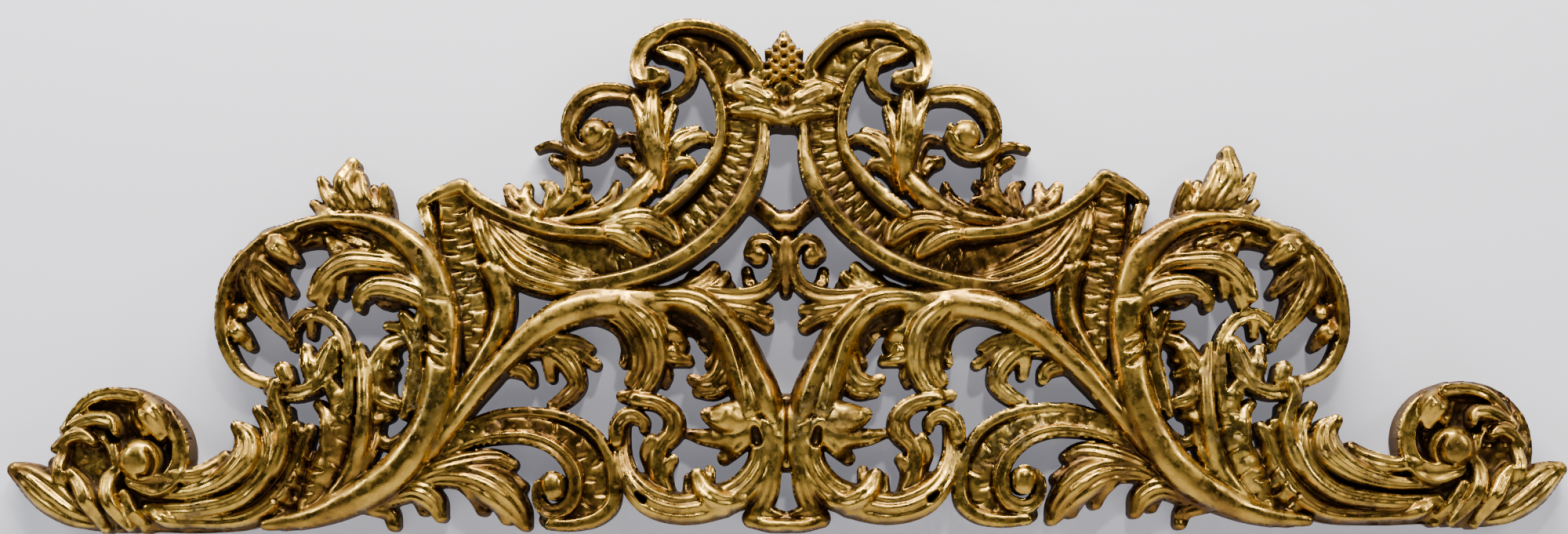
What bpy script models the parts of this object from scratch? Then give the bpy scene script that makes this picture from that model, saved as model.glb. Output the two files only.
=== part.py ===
"""A giltwood overdoor panel: one board carved through and in relief with scrolls and acanthus.

The panel hangs in the XZ plane. Its flat back is the plane y = 0 and the carving faces -Y.
The carving is drawn on a sheet, left half first. Each stroke of the drawing is a line with a
half width at each of its points and a height, as a carver would set it out. The strokes are
worked out as one field of heights, and that field becomes one closed solid.
"""
import math

import bpy
import numpy as np

# Driving dimensions, in metres
PANEL_WIDTH = 1.500
RELIEF_DEPTH = 0.062
EDGE_THICKNESS = 0.014
GRID_STEP = 0.0034
FACE_TARGET = 9600
BACK_SNAP = 0.0004
# The outline keeps this share of a grid step away from the grid's points
LEAST_SHARE = 0.12

# The drawing sheet, in its own units: the panel is SHEET_WIDTH wide and its foot is at FOOT_Y
SHEET_WIDTH = 1974.0
AXIS_X = 1003.0
FOOT_Y = 680.0
SHEET_TOP = 20.0
ORIGIN_Y = 552.0
UNIT = PANEL_WIDTH / SHEET_WIDTH

# Heights of the carving, as shares of the relief's depth
PIT = 0.26
GROUND = 0.46
LOW = 0.50
MID = 0.61
HIGH = 0.76
TOP = 0.94
CHANNEL = 0.62
# A stroke's rounded edge drops by this many times its half width
ROUNDNESS = 0.95
SPAN_SAMPLES = 8
# Strokes that pass closer than a few sheet units are joined by a low web of wood
WEBBING = 0.6
WEB = 0.40
# Where two strokes' surfaces are this close in height, they are blended instead of creased
BLEND = 0.07
# How far outside a stroke it still joins its neighbours, and the width of an eased edge, in sheet units
REACH = 16
EDGE_EASE = 3
FAR_OUTSIDE = 40.0
# Ribs fade out this many half widths from a stroke's ends
RIB_FADE = 1.4
RIB_DEPTH = 0.36
CELL_DEPTH = 0.28


def limb(rise, *points, ribs=1, flat=0, dip=0, cells=0):
    """A stroke that adds wood. Its points are (x, y, half width)."""
    return dict(kind="add", rise=rise, points=points, ribs=ribs, flat=flat, dip=dip, cells=cells)


def leaf(rise, *points):
    """A leaf finger, with more veins where it is broad."""
    broad = max(point[2] for point in points)
    return limb(rise, *points, ribs=1 if broad < 8.5 else 2 if broad < 15 else 3)


def band(rise, *points):
    """A scroll's band: a hollow between two lips."""
    return limb(rise, *points, dip=0.34)


def fillet(rise, *points):
    """A flat-topped rim."""
    return limb(rise, *points, flat=5)


def plate(*points):
    """The board that is left at ground level behind the carving."""
    return limb(GROUND, *points, flat=9)


def flutes(rise, cells, *points):
    """A channel with gouge cuts across it, one about every `cells` along."""
    return limb(rise, *points, flat=7, cells=cells)


def hollow(floor, *points):
    """A dark pocket cut down to a floor."""
    return dict(kind="pocket", rise=floor, points=points)


def gouge(depth, *points):
    """A tapered cut made with a gouge."""
    return dict(kind="groove", rise=depth, points=points)


def opening(*points):
    """A hole right through the board."""
    return dict(kind="opening", rise=0, points=points)


def end_volute():
    """The scroll that ends the panel, its leaf fingers and the leaf tongue beyond it."""
    return [
        limb(LOW, (163, 584, 83), flat=9),
        plate((76, 592, 10), (110, 606, 28), (130, 640, 28), (170, 652, 24)),
        band((MID, HIGH, HIGH), (150, 507, 7), (178, 507, 10), (208, 521, 11), (231, 550, 12),
             (238, 580, 12), (230, 606, 13), (207, 619, 15), (182, 611, 15)),
        band((MID, HIGH), (90, 546, 6), (106, 524, 7), (124, 509, 8), (150, 503, 8), (180, 506, 9)),
        limb(MID, (133, 509, 6), (118, 514, 6), (115, 523, 5), (124, 527, 4)),
        limb(TOP, (188, 587, 28), flat=3),
        leaf((MID, TOP, HIGH), (180, 508, 8), (195, 522, 16), (208, 540, 17), (213, 556, 9)),
        leaf((LOW, HIGH), (172, 516, 8), (184, 533, 11), (194, 550, 9)),
        leaf((MID, TOP), (88, 549, 6), (108, 540, 9), (132, 535, 10), (150, 539, 10), (157, 552, 6)),
        leaf((MID, HIGH), (78, 572, 6), (94, 559, 9), (112, 555, 9), (128, 564, 6)),
        leaf((MID, HIGH), (118, 552, 6), (138, 556, 9), (151, 570, 9), (157, 588, 7)),
        leaf((MID, HIGH, MID), (90, 572, 7), (84, 592, 9), (88, 615, 9), (98, 632, 7)),
        leaf((HIGH, TOP, MID), (100, 603, 7), (112, 618, 11), (126, 643, 11), (143, 672, 7)),
        leaf((MID, MID, LOW), (88, 622, 8), (104, 642, 10), (122, 664, 8)),
        leaf((HIGH, TOP, HIGH), (160, 596, 8), (148, 614, 11), (150, 636, 11), (162, 656, 9),
             (176, 672, 6)),
        leaf((MID, MID, LOW), (134, 628, 8), (146, 650, 9), (160, 671, 7)),
        leaf((HIGH, HIGH, LOW), (168, 630, 8), (177, 652, 10), (193, 672, 7)),
        leaf((MID, HIGH, LOW), (198, 646, 7), (214, 659, 9), (243, 669, 5)),
        leaf((MID, HIGH, HIGH, LOW), (27, 599, 10), (46, 609, 19), (72, 630, 24), (104, 652, 19),
             (140, 667, 8)),
        hollow(PIT, (214, 602, 3), (222, 586, 5), (224, 566, 4)),
        gouge(0.18, (198, 574, 2), (205, 588, 5), (200, 604, 4), (186, 608, 2)),
        hollow(PIT, (146, 548, 4), (152, 560, 5)),
    ]


def base_sweep():
    """The leaves that rise from the foot between the end volute and the trunk."""
    return [
        limb((LOW, LOW), (130, 660, 15), (200, 655, 22), (270, 652, 26), (330, 640, 30),
             (372, 604, 34), flat=3),
        leaf((HIGH, HIGH, MID), (225, 608, 9), (258, 606, 11), (282, 595, 12), (294, 583, 9)),
        leaf((MID, HIGH, TOP, HIGH), (205, 630, 8), (258, 626, 11), (300, 607, 15), (322, 580, 19),
             (321, 558, 15), (309, 545, 8)),
        leaf((MID, HIGH, HIGH, MID), (195, 648, 9), (258, 648, 11), (312, 634, 13), (342, 603, 14),
             (351, 570, 12), (346, 542, 11), (334, 524, 8)),
        leaf((MID, HIGH, HIGH), (332, 628, 8), (359, 590, 11), (367, 555, 10), (362, 530, 9),
             (354, 508, 9), (357, 490, 8)),
        leaf((MID, HIGH, MID), (350, 570, 6), (369, 545, 8), (369, 524, 7)),
        leaf((MID, MID, MID), (225, 664, 8), (320, 658, 11), (360, 630, 13), (382, 592, 14),
             (390, 562, 13), (399, 549, 9)),
        leaf((LOW, MID), (382, 572, 8), (384, 554, 8), (381, 542, 6)),
        limb((MID, HIGH, HIGH, MID), (440, 600, 10), (424, 574, 10), (423, 548, 9), (420, 529, 9),
             (411, 517, 8)),
        limb((MID, HIGH, HIGH, HIGH), (396, 648, 13), (414, 612, 19), (429, 580, 20), (440, 548, 17),
             (438, 515, 14), (424, 490, 10), cells=15),
        limb((LOW, HIGH, TOP, HIGH), (365, 669, 6), (400, 655, 9), (432, 630, 10), (455, 598, 11),
             (466, 565, 11), (470, 520, 10), (468, 480, 10), (464, 455, 8), (461, 442, 5)),
        limb((LOW, MID, HIGH, MID), (385, 668, 5), (425, 648, 7), (455, 618, 8), (478, 575, 8),
             (484, 540, 6)),
        limb(LOW, (360, 650, 14), (374, 628, 17), (390, 602, 15), (401, 584, 10), flat=3),
        gouge(0.08, (392, 584, 2), (402, 596, 5), (416, 600, 2)),
        gouge(0.08, (382, 600, 2), (392, 612, 5), (406, 616, 2)),
        gouge(0.08, (372, 618, 2), (382, 630, 5), (396, 634, 2)),
        gouge(0.08, (354, 634, 2), (366, 646, 5), (382, 650, 2)),
    ]


def trunk():
    """The trunk that springs from the foot and curls over as the large left scroll."""
    return [
        limb((MID, TOP, TOP, TOP, HIGH, HIGH, MID), (345, 668, 7), (400, 659, 13), (458, 635, 19),
             (508, 602, 22), (542, 556, 21), (560, 508, 21), (567, 460, 21), (568, 410, 21),
             (560, 370, 20), (545, 335, 20), (520, 308, 16), (490, 289, 13), (450, 280, 8),
             (410, 281, 6), (370, 292, 7), (336, 309, 8), (309, 333, 8), (293, 360, 8), (286, 395, 8),
             (287, 425, 8), (295, 450, 8), (309, 472, 8), (330, 486, 8), (352, 490, 8)),
        plate((372, 303, 13), (410, 298, 17), (450, 302, 24), (490, 318, 30), (530, 350, 26)),
        limb(LOW, (500, 316, 14), (455, 297, 12), (410, 298, 11), (378, 309, 9), flat=3),
        leaf((MID, HIGH, TOP), (430, 322, 11), (458, 320, 15), (496, 334, 16), (530, 357, 16),
             (556, 394, 15)),
        leaf((LOW, HIGH), (424, 303, 8), (448, 306, 9), (470, 316, 7)),
        leaf((MID, HIGH), (450, 289, 6), (472, 303, 9), (502, 322, 10), (534, 346, 10)),
        leaf((HIGH, HIGH), (540, 400, 8), (536, 440, 8), (530, 480, 8), (520, 530, 7)),
        gouge(0.10, (543, 418, 2), (558, 430, 6), (572, 436, 2)),
        gouge(0.10, (545, 434, 2), (560, 446, 6), (574, 452, 2)),
        gouge(0.10, (546, 452, 2), (560, 464, 6), (572, 470, 2)),
        gouge(0.07, (550, 384, 2), (576, 386, 2), (590, 384, 2)),
    ]


def scroll_leaves():
    """The leaf work inside the large scroll."""
    return [
        leaf((HIGH, HIGH, HIGH, HIGH, MID), (372, 298, 12), (345, 308, 16), (328, 330, 18),
             (322, 358, 18), (336, 388, 14), (355, 412, 11), (373, 430, 8)),
        limb((MID, MID), (352, 318, 20), (338, 345, 25), (340, 376, 17), (352, 400, 10)),
        leaf((HIGH, TOP, HIGH), (340, 306, 11), (358, 318, 14), (376, 332, 8)),
        leaf((HIGH, HIGH, MID), (330, 335, 13), (350, 352, 14), (370, 372, 8)),
        limb((MID, MID), (304, 346, 12), (294, 382, 10)),
        leaf((MID, HIGH, MID), (298, 395, 10), (312, 398, 9), (318, 388, 6)),
        leaf((MID, HIGH, LOW), (293, 408, 9), (306, 424, 11), (320, 442, 7)),
        leaf((HIGH, HIGH, TOP, HIGH), (562, 385, 13), (528, 347, 15), (482, 336, 14), (440, 338, 16),
             (415, 356, 13), (403, 378, 9)),
        limb((MID, MID), (540, 362, 20), (490, 348, 20), (448, 340, 20), (426, 350, 16)),
        limb((MID, MID), (508, 382, 12), (488, 384, 9)),
        leaf((MID, HIGH, MID), (450, 330, 12), (432, 318, 12), (420, 306, 7)),
        leaf((HIGH, HIGH, MID), (425, 352, 12), (416, 378, 10), (410, 396, 7)),
        leaf((HIGH, MID), (440, 350, 11), (436, 376, 7)),
        leaf((HIGH, TOP, TOP, HIGH), (562, 404, 12), (538, 381, 15), (506, 369, 16), (478, 369, 13),
             (461, 382, 9), (460, 394, 6)),
        leaf((HIGH, MID), (500, 376, 12), (497, 388, 7)),
        leaf((HIGH, HIGH, MID), (518, 404, 8), (532, 424, 11), (546, 452, 11)),
        leaf((MID, HIGH, HIGH), (497, 417, 7), (515, 420, 8), (530, 440, 9), (536, 470, 9),
             (536, 500, 8), (528, 522, 6)),
        leaf((MID, HIGH), (521, 402, 6), (530, 418, 8), (540, 445, 9)),
        leaf((MID, HIGH, HIGH, MID), (524, 432, 8), (500, 440, 12), (485, 462, 14), (480, 500, 14),
             (482, 545, 11)),
        limb((MID, MID), (496, 446, 14), (488, 480, 17), (492, 515, 14)),
        leaf((HIGH, MID), (492, 450, 11), (505, 460, 7)),
        leaf((HIGH, MID), (488, 475, 11), (503, 478, 7)),
        leaf((HIGH, HIGH, MID), (482, 505, 12), (502, 514, 11), (525, 521, 8)),
        leaf((HIGH, MID), (480, 535, 9), (498, 530, 8)),
        leaf((MID, MID, LOW), (484, 558, 9), (497, 568, 9), (515, 560, 8), (529, 540, 6)),
        band((LOW, MID, HIGH, HIGH), (376, 443, 6), (373, 425, 8), (382, 408, 9), (402, 401, 9),
             (423, 409, 9), (439, 427, 9), (447, 450, 8), (450, 480, 8), (449, 525, 8)),
        leaf((MID, LOW), (398, 408, 8), (398, 428, 6)),
        limb(HIGH, (372, 486, 8), (365, 473, 11)),
        limb((MID, MID), (415, 462, 14), (404, 488, 14)),
        leaf((MID, HIGH, HIGH), (393, 446, 8), (398, 466, 11), (404, 488, 10)),
        leaf((HIGH, HIGH, MID), (430, 437, 9), (421, 458, 15), (412, 480, 15), (396, 497, 10)),
        band((MID, HIGH, HIGH), (348, 498, 8), (378, 503, 10), (405, 494, 9), (425, 475, 9),
             (429, 450, 8)),
        leaf((HIGH, MID), (438, 505, 9), (424, 492, 8)),
        limb((MID, MID), (430, 545, 9), (446, 520, 9), (450, 480, 7)),
    ]


def crown_leaf():
    """The leaf that stands on the large scroll."""
    return [
        plate((415, 273, 9), (450, 266, 18), (485, 270, 14)),
        leaf((MID, HIGH, HIGH, MID), (462, 284, 14), (448, 258, 15), (437, 236, 13), (448, 209, 9)),
        leaf((MID, HIGH, MID), (450, 284, 12), (430, 262, 12), (416, 245, 9), (409, 230, 6)),
        leaf((MID, HIGH, MID), (440, 286, 12), (418, 275, 10), (401, 261, 7)),
        leaf((MID, HIGH, MID), (472, 286, 12), (467, 262, 12), (460, 242, 10), (456, 222, 7)),
        leaf((MID, HIGH, MID), (486, 292, 12), (484, 265, 11), (477, 243, 8)),
        leaf((MID, HIGH), (496, 294, 8), (493, 262, 9), (490, 241, 6)),
    ]


def strip():
    """The square-cornered strip beside the trunk, with its shell-like body."""
    return [
        plate((574, 266, 20), (578, 300, 26), (588, 345, 26), (600, 395, 24), (604, 440, 15),
             (600, 470, 10)),
        plate((600, 268, 14), (608, 300, 18), (618, 335, 18), (620, 390, 18), (612, 440, 12)),
        limb(CHANNEL, (622, 286, 18), (655, 316, 30), (700, 330, 33), (750, 332, 31), flat=9),
        flutes(CHANNEL, 10.5, (578, 257, 22), (584, 300, 25), (592, 350, 27), (602, 395, 24),
             (604, 430, 15), (602, 458, 8)),
        fillet((MID, HIGH), (540, 258, 7), (563, 246, 8), (588, 237, 9)),
        fillet((MID, HIGH, MID), (539, 262, 8), (547, 285, 8), (552, 310, 7), (559, 334, 5)),
        limb((MID, HIGH, TOP, HIGH, MID), (614, 274, 8), (634, 304, 19), (664, 337, 29),
             (702, 354, 27), (745, 362, 18), (785, 363, 10), ribs=5),
        plate((705, 330, 12), (740, 334, 18), (790, 330, 18)),
        fillet((HIGH, HIGH, TOP), (589, 237, 9), (612, 257, 9), (640, 272, 9), (670, 284, 9),
             (700, 293, 9), (730, 298, 8), (765, 300, 9)),
        limb((HIGH, HIGH, HIGH, MID), (628, 346, 12), (641, 366, 15), (645, 394, 14), (638, 424, 14),
             (622, 452, 11), (598, 488, 9), (565, 533, 8), (530, 582, 6)),
        limb((MID, HIGH, HIGH), (612, 350, 7), (622, 344, 9), (634, 350, 10)),
        leaf((MID, HIGH, HIGH), (605, 268, 6), (611, 290, 10), (619, 312, 11), (632, 334, 9)),
    ]


def great_scroll():
    """The great C-scroll: a fluted channel between two rims, curled at its top."""
    return [
        plate((848, 54, 14), (885, 52, 20), (920, 64, 26), (943, 94, 30), (948, 130, 30),
             (948, 170, 28), (940, 215, 28), (915, 258, 30), (880, 298, 32), (840, 325, 32),
             (790, 335, 30), (740, 340, 28)),
        flutes((CHANNEL, MID, MID, CHANNEL), 19, (840, 62, 11), (880, 56, 17), (914, 70, 19), (935, 98, 21),
             (945, 130, 24)),
        flutes(CHANNEL, 8.5, (945, 130, 24), (948, 170, 25), (942, 210, 25), (919, 250, 26), (887, 285, 26),
             (849, 310, 25), (800, 327, 24), (750, 331, 24), (720, 325, 22)),
        fillet((HIGH, TOP, HIGH), (975, 97, 8), (957, 69, 8), (930, 45, 7), (895, 33, 7), (865, 32, 7),
             (840, 40, 8)),
        band((HIGH, HIGH, TOP), (845, 40, 8), (822, 56, 10), (813, 78, 10), (817, 96, 12),
             (832, 98, 12)),
        limb(TOP, (832, 98, 13), (845, 98, 9)),
        band((HIGH, TOP, HIGH, MID), (842, 63, 6), (860, 67, 12), (876, 76, 10), (882, 93, 8),
             (875, 110, 7), (860, 120, 6), (843, 123, 5)),
        fillet((HIGH, HIGH, TOP), (880, 72, 7), (900, 88, 7), (913, 115, 7), (920, 145, 7),
             (920, 172, 7), (911, 200, 8), (893, 224, 9), (868, 250, 9), (842, 271, 9)),
        fillet((HIGH, TOP, TOP, HIGH), (975, 108, 6), (974, 170, 7), (972, 200, 9), (962, 232, 11),
             (942, 268, 11), (915, 298, 11), (880, 325, 11), (845, 344, 11), (800, 358, 11),
             (750, 366, 11), (712, 366, 9)),
        leaf((HIGH, TOP, HIGH), (750, 299, 9), (785, 300, 12), (808, 309, 15), (825, 323, 9)),
        leaf((MID, TOP, HIGH), (740, 288, 8), (785, 286, 10), (820, 281, 16), (847, 290, 18),
             (862, 307, 9)),
    ]


def plant():
    """The flowering plant on the strip, with its ball scroll and fan leaf."""
    return [
        limb((MID, HIGH, TOP, HIGH), (696, 286, 7), (745, 280, 9), (790, 268, 13), (818, 245, 14),
             (834, 222, 11), (840, 195, 9)),
        leaf((LOW, MID, HIGH), (789, 176, 5), (805, 174, 8), (818, 190, 11), (824, 215, 11),
             (815, 245, 12)),
        leaf((LOW, MID), (790, 202, 7), (804, 205, 11), (814, 220, 8)),
        leaf((LOW, MID, MID), (786, 234, 6), (781, 250, 9), (765, 265, 9), (735, 277, 7)),
        leaf((LOW, MID, MID), (684, 188, 4), (700, 183, 5), (718, 187, 6), (731, 203, 6),
             (736, 230, 6)),
        leaf((LOW, MID, MID), (706, 202, 8), (718, 208, 9), (727, 224, 8), (725, 246, 8),
             (709, 266, 9), (688, 282, 7)),
        leaf((LOW, MID, LOW), (747, 232, 6), (735, 244, 8), (718, 262, 7)),
        leaf((MID, MID, LOW), (714, 273, 6), (732, 257, 7), (747, 251, 7), (753, 259, 6)),
        plate((658, 260, 9), (680, 271, 12), (712, 276, 10)),
        leaf((LOW, MID, HIGH), (648, 240, 8), (658, 256, 13), (682, 273, 11)),
        leaf((LOW, MID, MID), (672, 236, 6), (670, 252, 8), (684, 271, 8)),
        leaf((LOW, MID, MID), (692, 233, 5), (704, 241, 9), (700, 264, 10)),
        band((MID, HIGH, HIGH, TOP), (812, 122, 10), (790, 116, 11), (765, 117, 12), (744, 127, 13),
             (730, 146, 12), (725, 168, 10), (733, 188, 11), (752, 196, 10), (771, 188, 8),
             (779, 172, 6)),
        limb(TOP, (759, 171, 19)),
        leaf((HIGH, MID), (777, 160, 5), (781, 176, 5)),
        leaf((HIGH, TOP, TOP, HIGH), (840, 240, 7), (835, 205, 11), (827, 175, 12), (819, 148, 11),
             (809, 126, 8)),
        leaf((HIGH, TOP, TOP, HIGH), (841, 235, 7), (837, 195, 11), (833, 160, 12), (832, 130, 11),
             (832, 112, 8)),
        leaf((HIGH, TOP, HIGH, MID), (843, 225, 7), (843, 185, 10), (848, 155, 10), (857, 133, 7)),
        leaf((HIGH, HIGH, MID), (843, 228, 7), (853, 196, 9), (866, 175, 9), (888, 165, 7)),
        leaf((HIGH, HIGH, MID), (852, 208, 7), (872, 184, 8), (895, 174, 8), (915, 181, 6)),
        leaf((MID, HIGH, MID), (845, 237, 7), (856, 217, 9), (874, 207, 9), (886, 216, 7),
             (884, 230, 7)),
        opening((741, 163, 4)),
    ]


def centre_crest():
    """The leaf collar, straps, berry and small volutes on the centre line."""
    return [
        leaf((HIGH, TOP, TOP, HIGH), (931, 113, 9), (948, 114, 15), (970, 123, 16), (995, 141, 10)),
        leaf((HIGH, TOP, TOP), (937, 139, 9), (956, 138, 13), (976, 142, 13), (997, 150, 9)),
        leaf((MID, HIGH, TOP), (950, 163, 9), (966, 156, 12), (984, 153, 11), (1000, 155, 8)),
        leaf((HIGH, HIGH, TOP), (962, 93, 8), (968, 108, 12), (982, 128, 12)),
        plate((985, 110, 20), (1003, 120, 18)),
        leaf((HIGH, HIGH), (988, 100, 9), (988, 120, 11), (990, 148, 9)),
        limb((MID, HIGH), (1003, 105, 10), (1003, 130, 11)),
        limb((MID, HIGH), (958, 256, 12), (976, 270, 12), (994, 286, 12), flat=3),
        limb(HIGH, (1003, 283, 15)),
        limb((MID, MID), (1003, 298, 12), (1003, 315, 9)),
        band((HIGH, HIGH, HIGH), (955, 324, 7), (962, 310, 7), (978, 307, 8), (990, 318, 8),
             (993, 340, 8), (985, 362, 9), (965, 375, 10), (935, 378, 9), (905, 375, 7)),
        limb(HIGH, (967, 326, 13)),
        limb((HIGH, HIGH, MID), (1003, 308, 7), (1003, 345, 8), (1003, 372, 7)),
        leaf((LOW, MID, MID), (953, 347, 8), (957, 362, 9), (970, 376, 8)),
        plate((872, 367, 8), (900, 361, 12), (928, 367, 11)),
        leaf((LOW, MID), (884, 350, 7), (876, 364, 9), (858, 371, 8)),
        leaf((MID, HIGH, MID), (910, 342, 9), (899, 356, 12), (880, 367, 10), (848, 374, 7)),
        leaf((MID, HIGH), (925, 353, 8), (914, 366, 10), (895, 376, 9)),
        leaf((MID, HIGH, HIGH), (979, 395, 8), (950, 391, 10), (912, 386, 10)),
        leaf((MID, HIGH, HIGH), (977, 415, 11), (958, 404, 11), (928, 397, 11), (898, 391, 11)),
        opening((973, 349, 5)),
    ]


def acanthus():
    """The large acanthus leaf of the lower middle, its stem and its curled tip."""
    return [
        plate((800, 400, 14), (838, 402, 16), (868, 408, 16), (892, 418, 14), (905, 440, 12)),
        plate((842, 420, 14), (858, 442, 12)),
        limb((MID, HIGH, TOP, TOP, HIGH), (470, 648, 7), (510, 622, 8), (550, 580, 9), (585, 535, 11),
             (620, 490, 13), (655, 452, 14), (690, 420, 17), (730, 398, 20), (770, 389, 20),
             (815, 386, 22), (850, 383, 17), (880, 385, 14)),
        limb((MID, HIGH, HIGH), (520, 612, 7), (560, 562, 8), (600, 514, 10), (630, 484, 9)),
        leaf((HIGH, MID, LOW), (730, 405, 8), (762, 406, 8), (790, 420, 9), (801, 443, 9),
             (797, 463, 7)),
        leaf((HIGH, HIGH, HIGH, MID), (762, 397, 9), (796, 410, 14), (815, 438, 15), (817, 468, 13),
             (806, 487, 9)),
        leaf((TOP, TOP, HIGH, MID), (800, 392, 12), (828, 418, 17), (838, 455, 16), (830, 486, 13),
             (812, 505, 12), (794, 506, 7)),
        leaf((HIGH, HIGH, MID), (834, 446, 11), (858, 456, 11), (878, 460, 8)),
        leaf((HIGH, LOW), (838, 462, 11), (850, 476, 9), (848, 490, 6)),
        limb((HIGH, TOP, TOP, TOP, HIGH), (815, 384, 9), (850, 381, 13), (888, 386, 16),
             (914, 405, 19), (935, 434, 23), (950, 470, 28), (964, 505, 32), (972, 540, 30),
             (982, 575, 21), ribs=2),
        limb((MID, HIGH, HIGH), (905, 384, 8), (935, 404, 8), (958, 440, 8), (975, 480, 8),
             (984, 530, 8)),
        limb((HIGH, TOP, HIGH), (960, 525, 18), (935, 533, 21), (912, 532, 13), (902, 529, 8)),
        limb((HIGH, HIGH, MID, LOW), (960, 548, 17), (930, 557, 15), (898, 557, 10), (876, 552, 6)),
        leaf((HIGH, HIGH, LOW), (952, 556, 14), (936, 572, 12), (924, 584, 9)),
        leaf((HIGH, HIGH, TOP, MID), (975, 570, 17), (967, 600, 19), (944, 626, 20), (908, 641, 22),
             (868, 648, 20), (832, 638, 20), (807, 614, 15), (796, 585, 12), (794, 560, 11),
             (797, 548, 8)),
        limb((HIGH, TOP, HIGH, MID), (868, 390, 10), (898, 400, 11), (916, 424, 12), (920, 448, 13),
             (908, 464, 10)),
        leaf((HIGH, HIGH, MID), (926, 455, 14), (915, 482, 13), (898, 490, 10), (883, 484, 7)),
        leaf((MID, HIGH, MID), (935, 480, 14), (912, 500, 10), (890, 500, 7)),
        limb((HIGH, HIGH, HIGH, MID), (832, 392, 10), (843, 410, 13), (860, 430, 14), (870, 440, 10)),
        limb((MID, HIGH), (870, 446, 7), (860, 448, 8)),
        hollow(PIT, (860, 410, 6), (878, 416, 8), (896, 432, 7), (903, 446, 4)),
        opening((886, 442, 4), (893, 456, 7), (893, 468, 5)),
        hollow(MID, (963, 550, 6), (966, 563, 8)),
        gouge(0.07, (955, 534, 3), (970, 532, 4), (987, 541, 3)),
        gouge(0.06, (905, 398, 2), (932, 430, 4), (948, 480, 5), (955, 520, 3)),
    ]


def small_scroll():
    """The small leafy scroll under the acanthus."""
    return [
        leaf((HIGH, HIGH, MID), (788, 562, 10), (791, 541, 11), (806, 530, 11), (821, 537, 9),
             (823, 549, 6)),
        leaf((HIGH, HIGH, HIGH, MID), (812, 510, 10), (842, 516, 11), (860, 533, 14), (859, 552, 14),
             (846, 568, 12), (840, 585, 12), (844, 612, 11), (860, 636, 10), (886, 651, 8)),
        leaf((HIGH, MID), (832, 561, 8), (826, 578, 9), (832, 596, 9)),
        leaf((HIGH, MID), (859, 586, 7), (850, 601, 9), (853, 622, 8)),
        leaf((MID, HIGH), (805, 612, 8), (822, 612, 9), (838, 628, 9), (850, 652, 8)),
        leaf((HIGH, TOP, HIGH), (890, 606, 9), (898, 623, 13), (919, 638, 13), (945, 638, 10)),
        leaf((MID, HIGH), (906, 600, 7), (903, 618, 9)),
        leaf((MID, HIGH), (880, 610, 7), (881, 629, 8), (898, 645, 8), (925, 650, 8)),
        hollow(LOW, (815, 630, 3), (823, 637, 5)),
    ]


def bottom_scroll():
    """The C-scroll along the foot."""
    return [
        plate((575, 572, 10), (610, 550, 17), (660, 543, 18), (705, 550, 22), (745, 575, 26),
             (760, 610, 26), (755, 640, 22), (725, 658, 14), (700, 662, 10)),
        flutes((CHANNEL, MID), 17, (560, 584, 7), (585, 563, 10), (620, 549, 11), (660, 543, 12),
             (700, 548, 14), (738, 567, 16), (758, 597, 18), (762, 627, 18), (750, 652, 15),
             (722, 664, 10)),
        fillet((MID, HIGH), (592, 545, 6), (640, 528, 6), (685, 526, 6), (725, 533, 7), (758, 551, 7),
             (776, 577, 7), (785, 610, 8), (783, 643, 9), (765, 660, 9), (735, 668, 8), (705, 668, 7)),
        band((MID, HIGH, HIGH), (572, 580, 6), (605, 565, 6), (640, 559, 7), (675, 559, 8),
             (707, 571, 9), (730, 594, 10), (737, 622, 10), (728, 644, 10), (706, 652, 10),
             (692, 641, 8), (690, 622, 7), (698, 610, 5)),
        limb(TOP, (709, 616, 15), (710, 624, 14)),
    ]


def bottom_leaf():
    """The leaf that springs from the trunk's foot."""
    return [
        leaf((MID, HIGH, HIGH, MID), (520, 620, 8), (562, 600, 12), (603, 590, 15), (638, 586, 13),
             (654, 592, 9)),
        leaf((MID, HIGH, MID), (535, 614, 9), (588, 602, 13), (636, 606, 14), (667, 620, 9)),
        leaf((MID, HIGH, TOP, MID), (520, 622, 8), (568, 608, 13), (611, 612, 20), (643, 630, 23),
             (663, 651, 17), (673, 669, 8)),
        leaf((HIGH, MID), (640, 640, 11), (650, 660, 9)),
        leaf((HIGH, MID), (600, 620, 11), (612, 634, 10), (619, 650, 8)),
        leaf((MID, HIGH, MID), (500, 636, 10), (532, 626, 14), (556, 637, 15), (566, 658, 8)),
        leaf((MID, LOW), (535, 630, 9), (544, 650, 8)),
        leaf((MID, LOW), (478, 648, 9), (500, 653, 11), (506, 669, 8)),
    ]


def middle_leaf():
    """The leaf that springs from the acanthus stem over the bottom scroll."""
    return [
        leaf((HIGH, HIGH, MID), (640, 470, 9), (665, 450, 11), (700, 447, 13), (727, 465, 15),
             (737, 490, 12), (723, 508, 11), (707, 518, 8)),
        leaf((HIGH, HIGH, MID), (660, 443, 7), (700, 434, 8), (735, 436, 8), (754, 445, 6)),
        leaf((HIGH, MID), (700, 442, 9), (735, 450, 9), (760, 465, 8)),
        leaf((HIGH, MID), (650, 470, 10), (671, 474, 12), (679, 488, 7)),
        leaf((HIGH, MID), (701, 456, 10), (704, 482, 7)),
    ]


def foot():
    """The foot and stem on the centre line."""
    return [
        plate((958, 659, 11), (985, 665, 12), (1003, 667, 9)),
        leaf((HIGH, HIGH, MID), (990, 560, 10), (986, 600, 11), (979, 630, 14), (966, 655, 12)),
        limb((MID, LOW), (980, 652, 9), (1003, 661, 8)),
        limb((MID, HIGH), (957, 663, 8), (985, 669, 8), (1003, 669, 7)),
        limb((MID, HIGH, HIGH, MID), (1003, 512, 9), (1003, 540, 12), (1003, 565, 13), (1003, 590, 10)),
        gouge(0.08, (1002, 514, 1.5), (1004, 550, 2.5), (1003, 586, 1.5)),
    ]


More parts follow.
